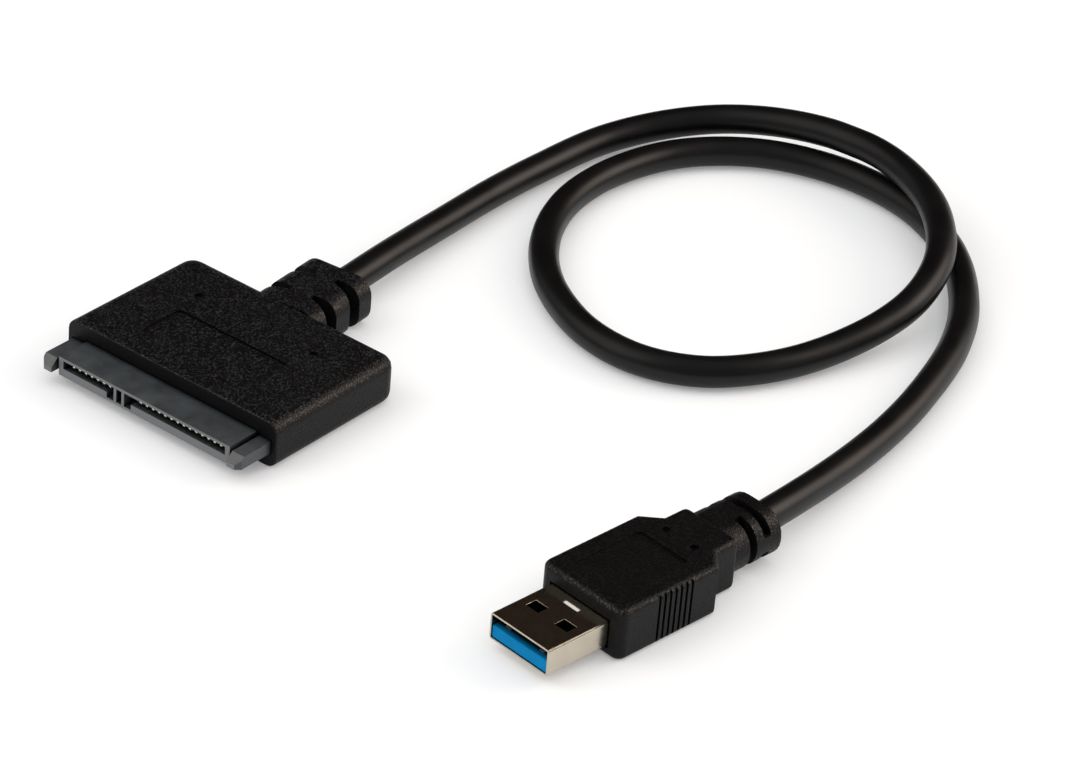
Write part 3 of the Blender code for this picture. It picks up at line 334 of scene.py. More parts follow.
# Small plain parts: two tones, lump size, roughness and how metallic they are
ROUGHNESS_SPREAD = 0.05
PLAIN_FINISHES = {
    "satin_pad": ("#efe9dd", "#fbf7ee", 0.5 * MM, 0.4, 0.0),
    "solder_mask": ("#0b3d22", "#12512f", 0.8 * MM, 0.35, 0.0),
    "epoxy_package": ("#161616", "#202021", 0.12 * MM, 0.55, 0.0),
    "stamped_steel_lid": ("#b8b8b4", "#cfcfca", 0.3 * MM, 0.3, 1.0),
    "sintered_ferrite": ("#3a3a3b", "#4c4c4d", 0.15 * MM, 0.7, 0.0),
    "fired_ceramic": ("#a07a4c", "#b78f5e", 0.2 * MM, 0.5, 0.0),
    "red_wire_pvc": ("#a01312", "#b51a18", 0.6 * MM, 0.4, 0.0),
    "white_wire_pvc": ("#d8d8d2", "#e4e4df", 0.6 * MM, 0.4, 0.0),
    "green_wire_pvc": ("#0f7a30", "#15893a", 0.6 * MM, 0.4, 0.0),
    "black_wire_pvc": ("#131313", "#1c1c1c", 0.6 * MM, 0.4, 0.0),
}
INNER_NODES = {
    "circuit_board": "solder_mask",
    "bridge_chip": "epoxy_package",
    "memory_chip": "epoxy_package",
    "crystal": "stamped_steel_lid",
    "inductor": "sintered_ferrite",
    "capacitor_1": "fired_ceramic",
    "capacitor_2": "fired_ceramic",
    "capacitor_3": "fired_ceramic",
}
WIRE_COLOURS = ("red", "white", "green", "black")


def add_node(tree, kind, inputs=None, **settings):
    """Adds a node with its settings, and gives each named input a value or a link."""
    node = tree.nodes.new(kind)
    for name, value in settings.items():
        setattr(node, name, value)
    for name, value in (inputs or {}).items():
        give(tree, node.inputs[name], value)
    return node


def give(tree, socket, value):
    """Gives an input socket a value, or a link from another socket."""
    if isinstance(value, bpy.types.NodeSocket):
        tree.links.new(value, socket)
    else:
        socket.default_value = value


def cleared_tree(block):
    """The emptied node tree of a material or a world."""
    block.use_nodes = True
    block.node_tree.nodes.clear()
    return block.node_tree


def new_material(name):
    """An empty node material, its Principled shader and the piece's own coordinates."""
    material = bpy.data.materials.new(name)
    tree = cleared_tree(material)
    shader = add_node(tree, "ShaderNodeBsdfPrincipled")
    add_node(tree, "ShaderNodeOutputMaterial", {"Surface": shader.outputs["BSDF"]})
    place = add_node(tree, "ShaderNodeTexCoord").outputs["Object"]
    return material, tree, shader, place


def finish_with(tree, shader, **inputs):
    """Gives the Principled shader its inputs, an underscore standing for a space in a name."""
    for name, value in inputs.items():
        give(tree, shader.inputs[name.replace("_", " ")], value)


def maths(tree, operation, first, second):
    """What a Math node makes of two values, each given as a number or as a socket."""
    node = add_node(tree, "ShaderNodeMath", operation=operation)
    give(tree, node.inputs[0], first)
    give(tree, node.inputs[1], second)
    return node.outputs["Value"]


def noise(tree, place, size, detail=2.0, grit=0.5):
    """Noise whose lumps are about this many metres apart."""
    inputs = {"Vector": place, "Scale": 1 / size, "Detail": detail, "Roughness": grit}
    return add_node(tree, "ShaderNodeTexNoise", inputs).outputs["Fac"]


def ranged(tree, value, span, low=0.0, high=1.0):
    """A value that goes from low to high while another goes through a span, and no further."""
    source = {"Value": value, "From Min": span[0], "From Max": span[1]}
    node = add_node(tree, "ShaderNodeMapRange", {**source, "To Min": low, "To Max": high})
    return node.outputs["Result"]


def spread(tree, value, low=0.0, high=1.0):
    """Spreads noise, which stays near its middle, over the range from low to high."""
    return ranged(tree, value, NOISE_SPAN, low, high)


def blend(tree, value, first, second):
    """A colour between two, each red, green and blue or a socket, by a value from 0 to 1."""
    inputs = {"Factor": value}
    for end, tone in (("A", first), ("B", second)):
        inputs[end] = tone if isinstance(tone, bpy.types.NodeSocket) else (*tone, 1.0)
    return add_node(tree, "ShaderNodeMix", inputs, data_type="RGBA").outputs["Result"]


def bump(tree, height, depth, strength):
    """A normal from a height of 0 to 1 that stands for this depth in metres."""
    inputs = {"Height": height, "Distance": depth, "Strength": strength}
    return add_node(tree, "ShaderNodeBump", inputs).outputs["Normal"]


def scaled(rgb, factor):
    """A colour made lighter or darker by a factor."""
    return tuple(min(1.0, channel * factor) for channel in rgb)


def turned_to(tree, axis, span):
    """A value that rises from 0 to 1 as a surface's normal turns along an axis."""
    normal = add_node(tree, "ShaderNodeNewGeometry").outputs["Normal"]
    apart = add_node(tree, "ShaderNodeSeparateXYZ", {"Vector": normal})
    return ranged(tree, apart.outputs[axis], span)


def shoulder_highlight_band(tree):
    """1 on rounded shoulders, between a flat top and an upright side, where the painted highlight goes.
    """
    rising = turned_to(tree, "Z", SHOULDER_HIGHLIGHT_LOW)
    return maths(tree, "MULTIPLY", rising, turned_to(tree, "Z", SHOULDER_HIGHLIGHT_HIGH))


def shaded(tree, tone):
    """A colour that darkens to black in narrow slots and corners."""
    inputs = {"Distance": SLOT_SHADE}
    openness = add_node(tree, "ShaderNodeAmbientOcclusion", inputs, samples=SHADE_SAMPLES)
    return blend(tree, ranged(tree, openness.outputs["AO"], SHADE_SPAN), BLACK, tone)


def darker_inside(tree, place, tone, span, deep):
    """A colour darkened by painted shade between two distances behind the shell's front edge."""
    middle = PLUG_FRAME.translation
    turned = add_node(
        tree,
        "ShaderNodeVectorRotate",
        {"Vector": place, "Center": tuple(middle), "Angle": PLUG_TURN},
        rotation_type="Z_AXIS",
    )
    apart = add_node(tree, "ShaderNodeSeparateXYZ", {"Vector": turned.outputs["Vector"]})
    depth = ranged(tree, apart.outputs["Y"], [middle.y + distance for distance in span])
    return blend(tree, depth, tone, to_linear(deep))


def clouded(tree, place, name, rgb):
    """The tone and the roughness of a clouded finish."""
    (dark, light), size, detail, grit, roughness = CLOUDS[name]
    clouds = noise(tree, place, size, detail, grit)
    tone = blend(tree, spread(tree, clouds), scaled(rgb, dark), scaled(rgb, light))
    return tone, spread(tree, clouds, *roughness)


def make_moulded_pvc(name, scene):
    """Soft PVC: near black, grained, with painted glints on the grain's tips on its tops and a brown
    painted highlight on its shoulders.
    """
    material, tree, shader, place = new_material(name)
    black = tuple(scene.adapter_colours.moulding)
    peaks = noise(tree, place, scene.adapter_sizes.grain)
    # The grain's tips: painted glints on tops, and the tips of the painted highlight on shoulders
    glinting_tips = ranged(tree, peaks, GLINT_TIP_SPAN)
    upward = turned_to(tree, "Z", GRAIN_FACING)
    # Painted glints: on tops the grain's tips are painted far paler than its dips
    glint_speckle = blend(tree, glinting_tips, scaled(black, TONE_IN_DIPS), scaled(black, GLINT_TONE_ON_TIPS[name]))
    body = blend(tree, upward, scaled(black, TONE_ON_SIDES), glint_speckle)
    # Painted highlight on the shoulders: brown on the grain's tips, a little paler between them
    painted_highlight = blend(tree, glinting_tips, scaled(black, SHOULDER_HIGHLIGHT_DIPS), to_linear(SHOULDER_HIGHLIGHT))
    strength = ranged(tree, upward, (0.0, 1.0), *GRAIN_STRENGTH)
    finish_with(
        tree,
        shader,
        Base_Color=shaded(tree, blend(tree, shoulder_highlight_band(tree), body, painted_highlight)),
        Specular_IOR_Level=MOULDING_SHEEN,
        Roughness=spread(tree, peaks, *MOULDING_ROUGHNESS),
        Normal=bump(tree, peaks, GRAIN_DEPTH, strength),
    )
    return material


def make_receptacle_plastic(name, scene):
    """Glass-filled PBT: dark grey, clouded by its fibres, with a paler painted highlight on faces that
    turn to the front.
    """
    material, tree, shader, place = new_material(name)
    body, roughness = clouded(tree, place, name, scene.adapter_colours.receptacle)
    # Painted highlight: faces turned to the front are painted a paler grey
    painted_highlight = turned_to(tree, "Y", FRONT_HIGHLIGHT_FACING)
    fibres = noise(tree, place, FIBRE_SIZE)
    finish_with(
        tree,
        shader,
        Base_Color=shaded(tree, blend(tree, painted_highlight, body, to_linear(FRONT_HIGHLIGHT_GREY))),
        Roughness=roughness,
        Normal=bump(tree, fibres, FIBRE_DEPTH, FIBRE_STRENGTH),
    )
    return material


def make_cord_jacket(name, scene):
    """Extruded PVC jacket: smooth and satin, with faint long waves from the twisted wires inside."""
    material, tree, shader, place = new_material(name)
    tone, roughness = clouded(tree, place, name, scene.adapter_colours.jacket)
    skin = noise(tree, place, SKIN_SIZE)
    finish_with(
        tree,
        shader,
        Base_Color=tone,
        Specular_IOR_Level=JACKET_SHEEN,
        Roughness=roughness,
        Normal=bump(tree, skin, SKIN_DEPTH, SKIN_STRENGTH),
    )
    return material


def make_nickel_plate(name, scene):
    """Bright nickel on rolled steel: a clear reflection, drawn out a little along the roll."""
    material, tree, shader, place = new_material(name)
    nickel = tuple(scene.adapter_colours.nickel)
    stains = noise(tree, place, STAIN_SIZE, FINE_DETAIL)
    inputs = {"Vector": place, "Rotation": (0.0, 0.0, PLUG_TURN), "Scale": ROLL_STRETCH}
    along = add_node(tree, "ShaderNodeMapping", inputs).outputs["Vector"]
    lines = noise(tree, along, ROLL_SIZE, FINE_DETAIL)
    finish_with(
        tree,
        shader,
        Base_Color=blend(tree, spread(tree, stains), scaled(nickel, STAIN_TONE), nickel),
        Metallic=1.0,
        Roughness=spread(tree, lines, *ROLL_ROUGHNESS),
        Normal=bump(tree, lines, ROLL_DEPTH, ROLL_STRENGTH),
    )
    return material


def make_blue_tongue(name, scene):
    """Blue PBT straight from a polished mould, with a slight sheen, shaded deep inside the shell."""
    material, tree, shader, place = new_material(name)
    blue, roughness = clouded(tree, place, name, scene.adapter_colours.tongue)
    tone = darker_inside(tree, place, blue, TONGUE_SHADE, TONGUE_DEEP)
    sheen = TONGUE_SHEEN
    finish_with(tree, shader, Base_Color=tone, Specular_IOR_Level=sheen, Roughness=roughness)
    return material


def make_gold_plate(name, scene):
    """Thin gold over copper alloy: pale yellow, rubbed smooth at the springs."""
    material, tree, shader, place = new_material(name)
    gold, roughness = clouded(tree, place, name, scene.adapter_colours.gold)
    finish_with(tree, shader, Base_Color=gold, Metallic=1.0, Roughness=roughness)
    return material


def make_gold_in_painted_shade(name, scene):
    """The same gold on the plug's contacts, darkened by painted shade deeper inside the shell."""
    material, tree, shader, place = new_material(name)
    gold, roughness = clouded(tree, place, name, scene.adapter_colours.gold)
    # Painted shade: the gold darkens to near black behind the shell's front edge
    tone = darker_inside(tree, place, gold, CONTACT_SHADE, CONTACT_SHADE_TONE)
    finish_with(tree, shader, Base_Color=tone, Metallic=1.0, Roughness=roughness)
    return material


def make_plain_part(name, dark, light, lumps, roughness, metallic):
    """The finish of a small plain part: two tones in lumps of this size."""
    material, tree, shader, place = new_material(name)
    lump = noise(tree, place, lumps, FINE_DETAIL)
    finish_with(
        tree,
        shader,
        Base_Color=blend(tree, spread(tree, lump), to_linear(dark), to_linear(light)),
        Metallic=metallic,
        Roughness=spread(tree, lump, roughness - ROUGHNESS_SPREAD, roughness + ROUGHNESS_SPREAD),
    )
    return material


PIECE_MATERIALS = {
    "moulded_pvc": make_moulded_pvc,
    "plug_pvc": make_moulded_pvc,
    "receptacle_pbt": make_receptacle_plastic,
    "cord_jacket_pvc": make_cord_jacket,
    "nickel_plated_steel": make_nickel_plate,
    "blue_pbt": make_blue_tongue,
    "gold_plated_copper": make_gold_plate,
    # gold whose painted shade darkens it inside the shell
    "tarnished_gold": make_gold_in_painted_shade,
}


def material_named(name, scene):
    """The material of this name, made the first time that it is asked for."""
    found = bpy.data.materials.get(name)
    if found is not None:
        return found
    if name in PIECE_MATERIALS:
        return PIECE_MATERIALS[name](name, scene)
    return make_plain_part(name, *PLAIN_FINISHES[name])


def add_object(name, data):
    """Links a new object to the scene."""
    item = bpy.data.objects.new(name, data)
    bpy.context.scene.collection.objects.link(item)
    return item


def add_piece(name, mesh, material, replaced):
    """Links a finished mesh as a piece on the one body, in place of CAD nodes."""
    mesh.name = name
    mesh.materials.clear()
    mesh.materials.append(material)
    piece = add_object(name, mesh)
    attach(piece, BODY)
    if replaced:
        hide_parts(*replaced)
    return piece


def mesh_from(shape, name):
    """The mesh of a finished bmesh, which is freed."""
    mesh = bpy.data.meshes.new(name)
    shape.to_mesh(mesh)
    shape.free()
    return mesh


def evaluated_mesh(helper):
    """The plain mesh that a helper object's modifiers make. The helper goes."""
    graph = bpy.context.evaluated_depsgraph_get()
    mesh = bpy.data.meshes.new_from_object(helper.evaluated_get(graph))
    bpy.data.objects.remove(helper, do_unlink=True)
    return mesh


def corner_edges(mesh, stand, wanted):
    """The square edges of a mesh that a test picks, by their ends and facing in the end's frame."""
    shape = bmesh.new()
    shape.from_mesh(mesh)
    shape.transform(stand.inverted())
    shape.normal_update()
    found = []
    for edge in shape.edges:
        if edge.calc_face_angle(0.0) > SQUARE_ANGLE:
            outward = sum((face.normal for face in edge.link_faces), Vector())
            if wanted([vert.co for vert in edge.verts], outward):
                found.append(edge.index)
    shape.free()
    return found


def on_front(ends, outward):
    """Whether an edge is the outer rim of the front face."""
    middle = (ends[0] + ends[1]) / 2
    level = all(abs(end.y) < NEAR for end in ends)
    return level and outward.x * middle.x + outward.z * (middle.z - BODY_MIDDLE) > 0


def on_shell(ends, outward):
    """Whether an edge is the shell's front rim, or goes round an opening in its top."""
    return on_front(ends, outward) or all(abs(end.z - SHELL_TOP) < NEAR for end in ends)


def finished_mesh(mesh, edge, segments=EDGE_SEGMENTS, chosen=(), wide=0.0):
    """Rounds the sharp edges of a closed mesh, the chosen ones wider, and evens its shading."""
    helper = add_object("helper", mesh)
    if chosen:
        weights = mesh.attributes.new("bevel_weight_edge", "FLOAT", "EDGE")
        for index in chosen:
            weights.data[index].value = 1.0
        rim = helper.modifiers.new("rim", "BEVEL")
        rim.width = wide
        rim.segments = RIM_SEGMENTS
        rim.limit_method = "WEIGHT"
    bevel = helper.modifiers.new("edge", "BEVEL")
    bevel.width = edge
    bevel.segments = segments
    bevel.limit_method = "ANGLE"
    bevel.angle_limit = SHARP_ANGLE
    weighted = helper.modifiers.new("shading", "WEIGHTED_NORMAL")
    weighted.keep_sharp = True
    for polygon in mesh.polygons:
        polygon.use_smooth = True
    return evaluated_mesh(helper)


def node_mesh(node):
    """A merged copy of a CAD node's mesh, with its flat faces whole again."""
    shape = bmesh.new()
    shape.from_mesh(NODES[node].data)
    bmesh.ops.remove_doubles(shape, verts=shape.verts, dist=MERGE_DISTANCE)
    bmesh.ops.dissolve_limit(shape, angle_limit=FLAT_ANGLE, verts=shape.verts, edges=shape.edges)
    return mesh_from(shape, node)


def smooth_course(points):
    """Places along a centripetal curve through the points, with many between each two."""
    through = [Vector(point) for point in points]
    through.insert(0, 2 * through[0] - through[1])
    through.append(2 * through[-1] - through[-2])
    places = []
    for p0, p1, p2, p3 in zip(through, through[1:], through[2:], through[3:]):
        t1 = (p1 - p0).length ** 0.5
        t2 = t1 + (p2 - p1).length ** 0.5
        t3 = t2 + (p3 - p2).length ** 0.5
        for step in range(CORD_COURSE_STEPS):
            t = t1 + (t2 - t1) * step / CORD_COURSE_STEPS
            a1 = p0 * ((t1 - t) / t1) + p1 * (t / t1)
            a2 = p1 * ((t2 - t) / (t2 - t1)) + p2 * ((t - t1) / (t2 - t1))
            a3 = p2 * ((t3 - t) / (t3 - t2)) + p3 * ((t - t2) / (t3 - t2))
            b1 = a1 * ((t2 - t) / t2) + a2 * (t / t2)
            b2 = a2 * ((t3 - t) / (t3 - t1)) + a3 * ((t - t1) / (t3 - t1))
            places.append(b1 * ((t2 - t) / (t2 - t1)) + b2 * ((t - t1) / (t2 - t1)))
    places.append(through[-2])
    return places


def evenly_spaced(places, step):
    """Points at one distance from each other along the places, the first and last kept."""
    lengths = [0.0]
    for before, here in zip(places, places[1:]):
        lengths.append(lengths[-1] + (here - before).length)
    count = round(lengths[-1] / step)
    spaced = []
    index = 0
    for number in range(count + 1):
        wanted = lengths[-1] * number / count
        while index < len(lengths) - 2 and lengths[index + 1] < wanted:
            index += 1
        share = (wanted - lengths[index]) / (lengths[index + 1] - lengths[index])
        spaced.append(places[index].lerp(places[index + 1], min(share, 1.0)))
    return spaced


def cord_points():
    """The cord's line, from inside one strain relief to inside the other.

    It keeps inside the CAD frame's box, whose cord has longer straight steps.
    """
    lead = Vector((0.0, CORD_LEAD, 0.0))
    inside = Vector((0.0, CORD_INSIDE, 0.0))
    start = Vector((0.0, RELIEF_LENGTH, 0.0))
    end = Vector((0.0, BOOT_END, 0.0))
    face = DRIVE_FRAME.translation
    route = [face + Vector(point) * MM for point in CORD_ROUTE]
    course = smooth_course([RELIEF_FRAME @ (start + lead), *route, BOOT_FRAME @ (end + lead)])
    points = evenly_spaced(course, CORD_STEP)
    room = bpy.context.scene.adapter_sizes.cord_diameter / 2 + CORD_MARGIN
    low = [value + room for value in CAD_BOX[0]]
    high = [value - room for value in CAD_BOX[1]]
    kept = [Vector(min(max(v, a), b) for v, a, b in zip(point, low, high)) for point in points]
    return [RELIEF_FRAME @ (start - inside), *kept, BOOT_FRAME @ (end - inside)]


class ADAPTER_OT_camera(bpy.types.Operator):
    """Places the camera at the photograph's viewing angle"""

    bl_idname = "adapter.camera"
    bl_label = "Camera"

    def execute(self, context):
        a, e = CAMERA_AZIMUTH, CAMERA_ELEVATION
        back = Vector((math.sin(a) * math.cos(e), -math.cos(a) * math.cos(e), math.sin(e)))
        right = Vector((math.cos(a), math.sin(a), 0.0))
        up = back.cross(right)
        turned_right = math.cos(CAMERA_ROLL) * right + math.sin(CAMERA_ROLL) * up
        turned_up = math.cos(CAMERA_ROLL) * up - math.sin(CAMERA_ROLL) * right
        data = bpy.data.cameras.new("camera")
        data.sensor_fit = "HORIZONTAL"
        data.sensor_width = CAMERA_SENSOR
        data.lens = CAMERA_LENS
        data.clip_start = CAMERA_NEAR
        turn = Matrix((turned_right, turned_up, back)).transposed().to_4x4()
        place = CAMERA_TARGET + back * CAMERA_DISTANCE
        camera = add_object("camera", data)
        camera.matrix_world = Matrix.Translation(place) @ turn
        context.scene.camera = camera
        return {"FINISHED"}


class ADAPTER_OT_cord(bpy.types.Operator):
    """Makes the round cord from one strain relief to the other"""

    bl_idname = "adapter.cord"
    bl_label = "Cord"

    def execute(self, context):
        curve = bpy.data.curves.new("adapter_cord", "CURVE")
        curve.dimensions = "3D"
        curve.bevel_depth = context.scene.adapter_sizes.cord_diameter / 2
        curve.bevel_resolution = CORD_ROUND_STEPS
        curve.use_fill_caps = True
        points = cord_points()
        spline = curve.splines.new("POLY")
        spline.points.add(len(points) - 1)
        for point, place in zip(spline.points, points):
            point.co = (*place, 1.0)
        spline.use_smooth = True
        curve.materials.append(material_named("cord_jacket_pvc", context.scene))
        cord = add_object("adapter_cord", curve)
        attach(cord, BODY)
        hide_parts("cord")
        return {"FINISHED"}


class ADAPTER_OT_drive_housing(bpy.types.Operator):
    """Makes the black moulding of the drive end"""

    bl_idname = "adapter.drive_housing"
    bl_label = "Drive housing"

    def execute(self, context):
        sizes = context.scene.adapter_sizes
        edge = sizes.moulding_edge
        mesh = node_mesh("drive_housing")
        rim = corner_edges(mesh, DRIVE_FRAME, on_front)
        mesh = finished_mesh(mesh, edge, chosen=rim, wide=sizes.housing_rim)
        material = material_named("moulded_pvc", context.scene)
        add_piece("drive_moulding", mesh, material, ["drive_housing"])
        return {"FINISHED"}


class ADAPTER_OT_receptacle(bpy.types.Operator):
    """Makes the drive's receptacle with its slots and guide arms"""

    bl_idname = "adapter.receptacle"
    bl_label = "Receptacle"

    def execute(self, context):
        edge = context.scene.adapter_sizes.receptacle_edge
        mesh = finished_mesh(node_mesh("drive_receptacle"), edge)
        material = material_named("receptacle_pbt", context.scene)
        add_piece("receptacle", mesh, material, ["drive_receptacle"])
        return {"FINISHED"}


def contact_mesh():
    """One contact spring: a bent strip whose tip narrows, standing at the middle of the width."""
    shape = bmesh.new()
    half_thick = CONTACT_THICKNESS / 2
    front = DRIVE_FRAME.translation.y
    rings = []
    path = [Vector((0.0, y * MM + front, z * MM)) for y, z, _ in CONTACT_PATH]
    for index, (point, (_, _, width)) in enumerate(zip(path, CONTACT_PATH)):
        before = path[max(index - 1, 0)]
        after = path[min(index + 1, len(path) - 1)]
        along = (after - before).normalized()
        up = Vector((0.0, along.z, -along.y)) * half_thick
        side = Vector((width * MM / 2, 0.0, 0.0))
        corners = (point - side - up, point + side - up, point + side + up, point - side + up)
        rings.append([shape.verts.new(corner) for corner in corners])
    for ring, following in zip(rings, rings[1:]):
        for a, b in ((0, 1), (1, 2), (2, 3), (3, 0)):
            shape.faces.new((ring[a], ring[b], following[b], following[a]))
    shape.faces.new(rings[0])
    shape.faces.new(reversed(rings[-1]))
    bmesh.ops.recalc_face_normals(shape, faces=shape.faces)
    return finished_mesh(mesh_from(shape, "contact"), CONTACT_EDGE, CONTACT_EDGE_SEGMENTS)


def contact_row_tree():
    """Nodes that set one contact along the signal row and along the power row."""
    tree = bpy.data.node_groups.new("contact_rows", "GeometryNodeTree")
    face = tree.interface
    face.new_socket("Geometry", in_out="INPUT", socket_type="NodeSocketGeometry")
    for name in ("Signal Count", "Power Count"):
        face.new_socket(name, in_out="INPUT", socket_type="NodeSocketInt")
    for name in ("Pitch", "Signal Start", "Power Start"):
        face.new_socket(name, in_out="INPUT", socket_type="NodeSocketFloat")
    face.new_socket("Material", in_out="INPUT", socket_type="NodeSocketMaterial")
    face.new_socket("Geometry", in_out="OUTPUT", socket_type="NodeSocketGeometry")
    given = add_node(tree, "NodeGroupInput").outputs
    offset = add_node(tree, "ShaderNodeCombineXYZ", {"X": given["Pitch"]}).outputs["Vector"]
    both = add_node(tree, "GeometryNodeJoinGeometry")
    for row in ("Signal", "Power"):
        start = add_node(tree, "ShaderNodeCombineXYZ", {"X": given[f"{row} Start"]})
        inputs = {
            "Count": given[f"{row} Count"],
            "Start Location": start.outputs["Vector"],
            "Offset": offset,
        }
        line = add_node(tree, "GeometryNodeMeshLine", inputs, mode="OFFSET")
        tree.links.new(line.outputs["Mesh"], both.inputs["Geometry"])
    placed = add_node(
        tree,
        "GeometryNodeInstanceOnPoints",
        {"Points": both.outputs["Geometry"], "Instance": given["Geometry"]},
    )
    real = add_node(
        tree, "GeometryNodeRealizeInstances", {"Geometry": placed.outputs["Instances"]}
    )
    finish = add_node(
        tree,
        "GeometryNodeSetMaterial",
        {"Geometry": real.outputs["Geometry"], "Material": given["Material"]},
    )
    add_node(tree, "NodeGroupOutput", {"Geometry": finish.outputs["Geometry"]})
    return tree


def mesh_from_tree(mesh, tree, values):
    """The plain mesh that a tree makes of a mesh, with the tree's named inputs set."""
    helper = add_object("helper", mesh)
    modifier = helper.modifiers.new("nodes", "NODES")
    modifier.node_group = tree
    for item in tree.interface.items_tree:
        if item.item_type == "SOCKET" and item.in_out == "INPUT" and item.name in values:
            modifier[item.identifier] = values[item.name]
    return evaluated_mesh(helper)


def first_place(row):
    """How far along X the first contact of a row has its middle."""
    return min((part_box(name)[0].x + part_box(name)[1].x) / 2 for name in row)


class ADAPTER_OT_drive_contacts(bpy.types.Operator):
    """Makes the receptacle's two rows of contacts and finishes the plug's own contacts"""

    bl_idname = "adapter.drive_contacts"
    bl_label = "Contacts"

    def execute(self, context):
        gold = material_named("gold_plated_copper", context.scene)
        signal = [name for name in NODES if name.startswith("signal_contact")]
        power = [name for name in NODES if name.startswith("power_contact")]
        values = {
            "Signal Count": len(signal),
            "Power Count": len(power),
            "Pitch": CONTACT_PITCH,
            "Signal Start": first_place(signal),
            "Power Start": first_place(power),
            "Material": gold,
        }
        mesh = mesh_from_tree(contact_mesh(), contact_row_tree(), values)
        add_piece("drive_contacts", mesh, gold, signal + power)
        # The plug's contacts take gold with painted shade inside the shell
        gold_in_shade = material_named("tarnished_gold", context.scene)
        for name, node in NODES.items():
            if name.startswith(("flat_contact", "raised_contact")):
                node.data.materials.clear()
                node.data.materials.append(gold_in_shade)
        return {"FINISHED"}


class ADAPTER_OT_inner_parts(bpy.types.Operator):
    """Finishes the board, its parts and the wires, which the mouldings hide"""

    bl_idname = "adapter.inner_parts"
    bl_label = "Inner parts"

    def execute(self, context):
        finishes = dict(INNER_NODES)
        for wire in WIRE_COLOURS:
            finishes[f"drive_wire_{wire}"] = f"{wire}_wire_pvc"
            finishes[f"plug_wire_{wire}"] = f"{wire}_wire_pvc"
        for name, finish in finishes.items():
            mesh = NODES[name].data
            mesh.materials.clear()
            mesh.materials.append(material_named(finish, context.scene))
        return {"FINISHED"}


def pad_mesh():
    """A flat pad with round ends, lying in the shell's cross slot."""
    width, length, height = PAD_SIZE
    shape = bmesh.new()
    bmesh.ops.create_cube(shape, size=1.0, matrix=Matrix.Diagonal((width, length, height, 1.0)))
    upright = [e for e in shape.edges if abs(e.verts[0].co.z - e.verts[1].co.z) > height / 2]
    bmesh.ops.bevel(
        shape,
        geom=upright,
        offset=PAD_ROUND,
        segments=PAD_ROUND_STEPS,
        affect="EDGES",
        profile=0.5,
    )
    middle_z = SHELL_TOP - PAD_DROP - height / 2
    shape.transform(PLUG_FRAME @ Matrix.Translation((0.0, PAD_FROM_FRONT, middle_z)))
    return finished_mesh(mesh_from(shape, "pad"), PAD_EDGE)


class ADAPTER_OT_usb_plug(bpy.types.Operator):
    """Makes the USB plug: moulding, steel shell, pale pad and blue tongue"""

    bl_idname = "adapter.usb_plug"
    bl_label = "USB plug"

    def execute(self, context):
        scene = context.scene
        sizes = scene.adapter_sizes
        pieces = (
            ("plug_moulding", "usb_housing", "plug_pvc", "moulded_black", sizes.moulding_edge),
            ("plug_shell", "usb_shell", "nickel_plated_steel", "shell_nickel", sizes.sheet_edge),
            ("plug_tongue", "usb_tongue", "blue_pbt", "tongue_blue", sizes.sheet_edge),
        )
        for name, node, finish, slot, edge in pieces:
            mesh = node_mesh(node)
            rim = corner_edges(mesh, PLUG_FRAME, on_shell) if node == "usb_shell" else ()
            mesh = finished_mesh(mesh, edge, chosen=rim, wide=sizes.shell_rim)
            add_piece(name, mesh, material_named(finish, scene), [node])
        add_piece("shell_pad", pad_mesh(), material_named("satin_pad", scene), [])
        return {"FINISHED"}


class ADAPTER_OT_declare_cord(bpy.types.Operator):
    """Gathers the names of the pieces on the cord into a list, which nothing then uses"""

    bl_idname = "adapter.declare_cord"
    bl_label = "Declare cord"

    def execute(self, context):
        on_cord = ["plug_moulding", "plug_shell", "plug_tongue", "shell_pad"]
        on_cord += [name for name in NODES if name.startswith(("flat_", "raised_", "plug_wire"))]
        return {"FINISHED"}


# Studio floor, and how brightly it glows to white
FLOOR_SIZE = 6.0
FLOOR_DROP = 0.05 * MM
FLOOR_GLOW = 0.2

# Softboxes: direction from the object, size in metres, power in watts, colour, and whether they
# light surfaces evenly and whether surfaces mirror them
LIGHT_DISTANCE = 0.9
SOFTBOXES = {
    "back_right": ((0.53, 0.68, 0.50), 0.5, 2.3, "#ffeee0", True, False),
    "front_left": ((-0.50, -0.53, 0.68), 0.5, 1.5, "#fffaf4", True, False),
    "above": ((0.1, -0.2, 1.0), 1.2, 2.6, "#ffffff", True, False),
    "back_right_glint": ((0.53, 0.68, 0.50), 0.36, 8.0, "#ffeee0", False, True),
    "front_left_glint": ((-0.50, -0.53, 0.68), 0.45, 5.0, "#fff6ec", False, True),
}
STAGE_MIDDLE = Vector((34.0 * MM, 40.0 * MM, 0.0))

# The world's strength as a fill on surfaces, and as they mirror it
WORLD_FILL = 0.6
GLOSSY_SKY = 0.3
WHITE = (1.0, 1.0, 1.0, 1.0)

# Dark card that level tops mirror
CARD_DIRECTION = Vector((-0.5, 0.682, 0.534))
CARD_DISTANCE = 0.8
CARD_SIZE = (1.5, 1.1)
CARD_COLOUR = "#2a211c"


def seen_directly(tree, path):
    """1 for rays from the camera and rays through a material, 0 for all others."""
    return maths(tree, "MAXIMUM", path["Is Camera Ray"], path["Is Transmission Ray"])


def glow_level(tree):
    """The floor's glow, which only what looks at the floor or mirrors it gets to see."""
    path = add_node(tree, "ShaderNodeLightPath").outputs
    looking = maths(tree, "MAXIMUM", seen_directly(tree, path), path["Is Glossy Ray"])
    return maths(tree, "MULTIPLY", looking, FLOOR_GLOW)


def sky_level(tree):
    """The world's strength: white to look at, a soft fill, and a dim room in reflections."""
    path = add_node(tree, "ShaderNodeLightPath").outputs
    plain = ranged(tree, seen_directly(tree, path), (0.0, 1.0), WORLD_FILL, 1.0)
    inputs = {"Factor": path["Is Glossy Ray"], "A": plain, "B": GLOSSY_SKY}
    return add_node(tree, "ShaderNodeMix", inputs).outputs["Result"]


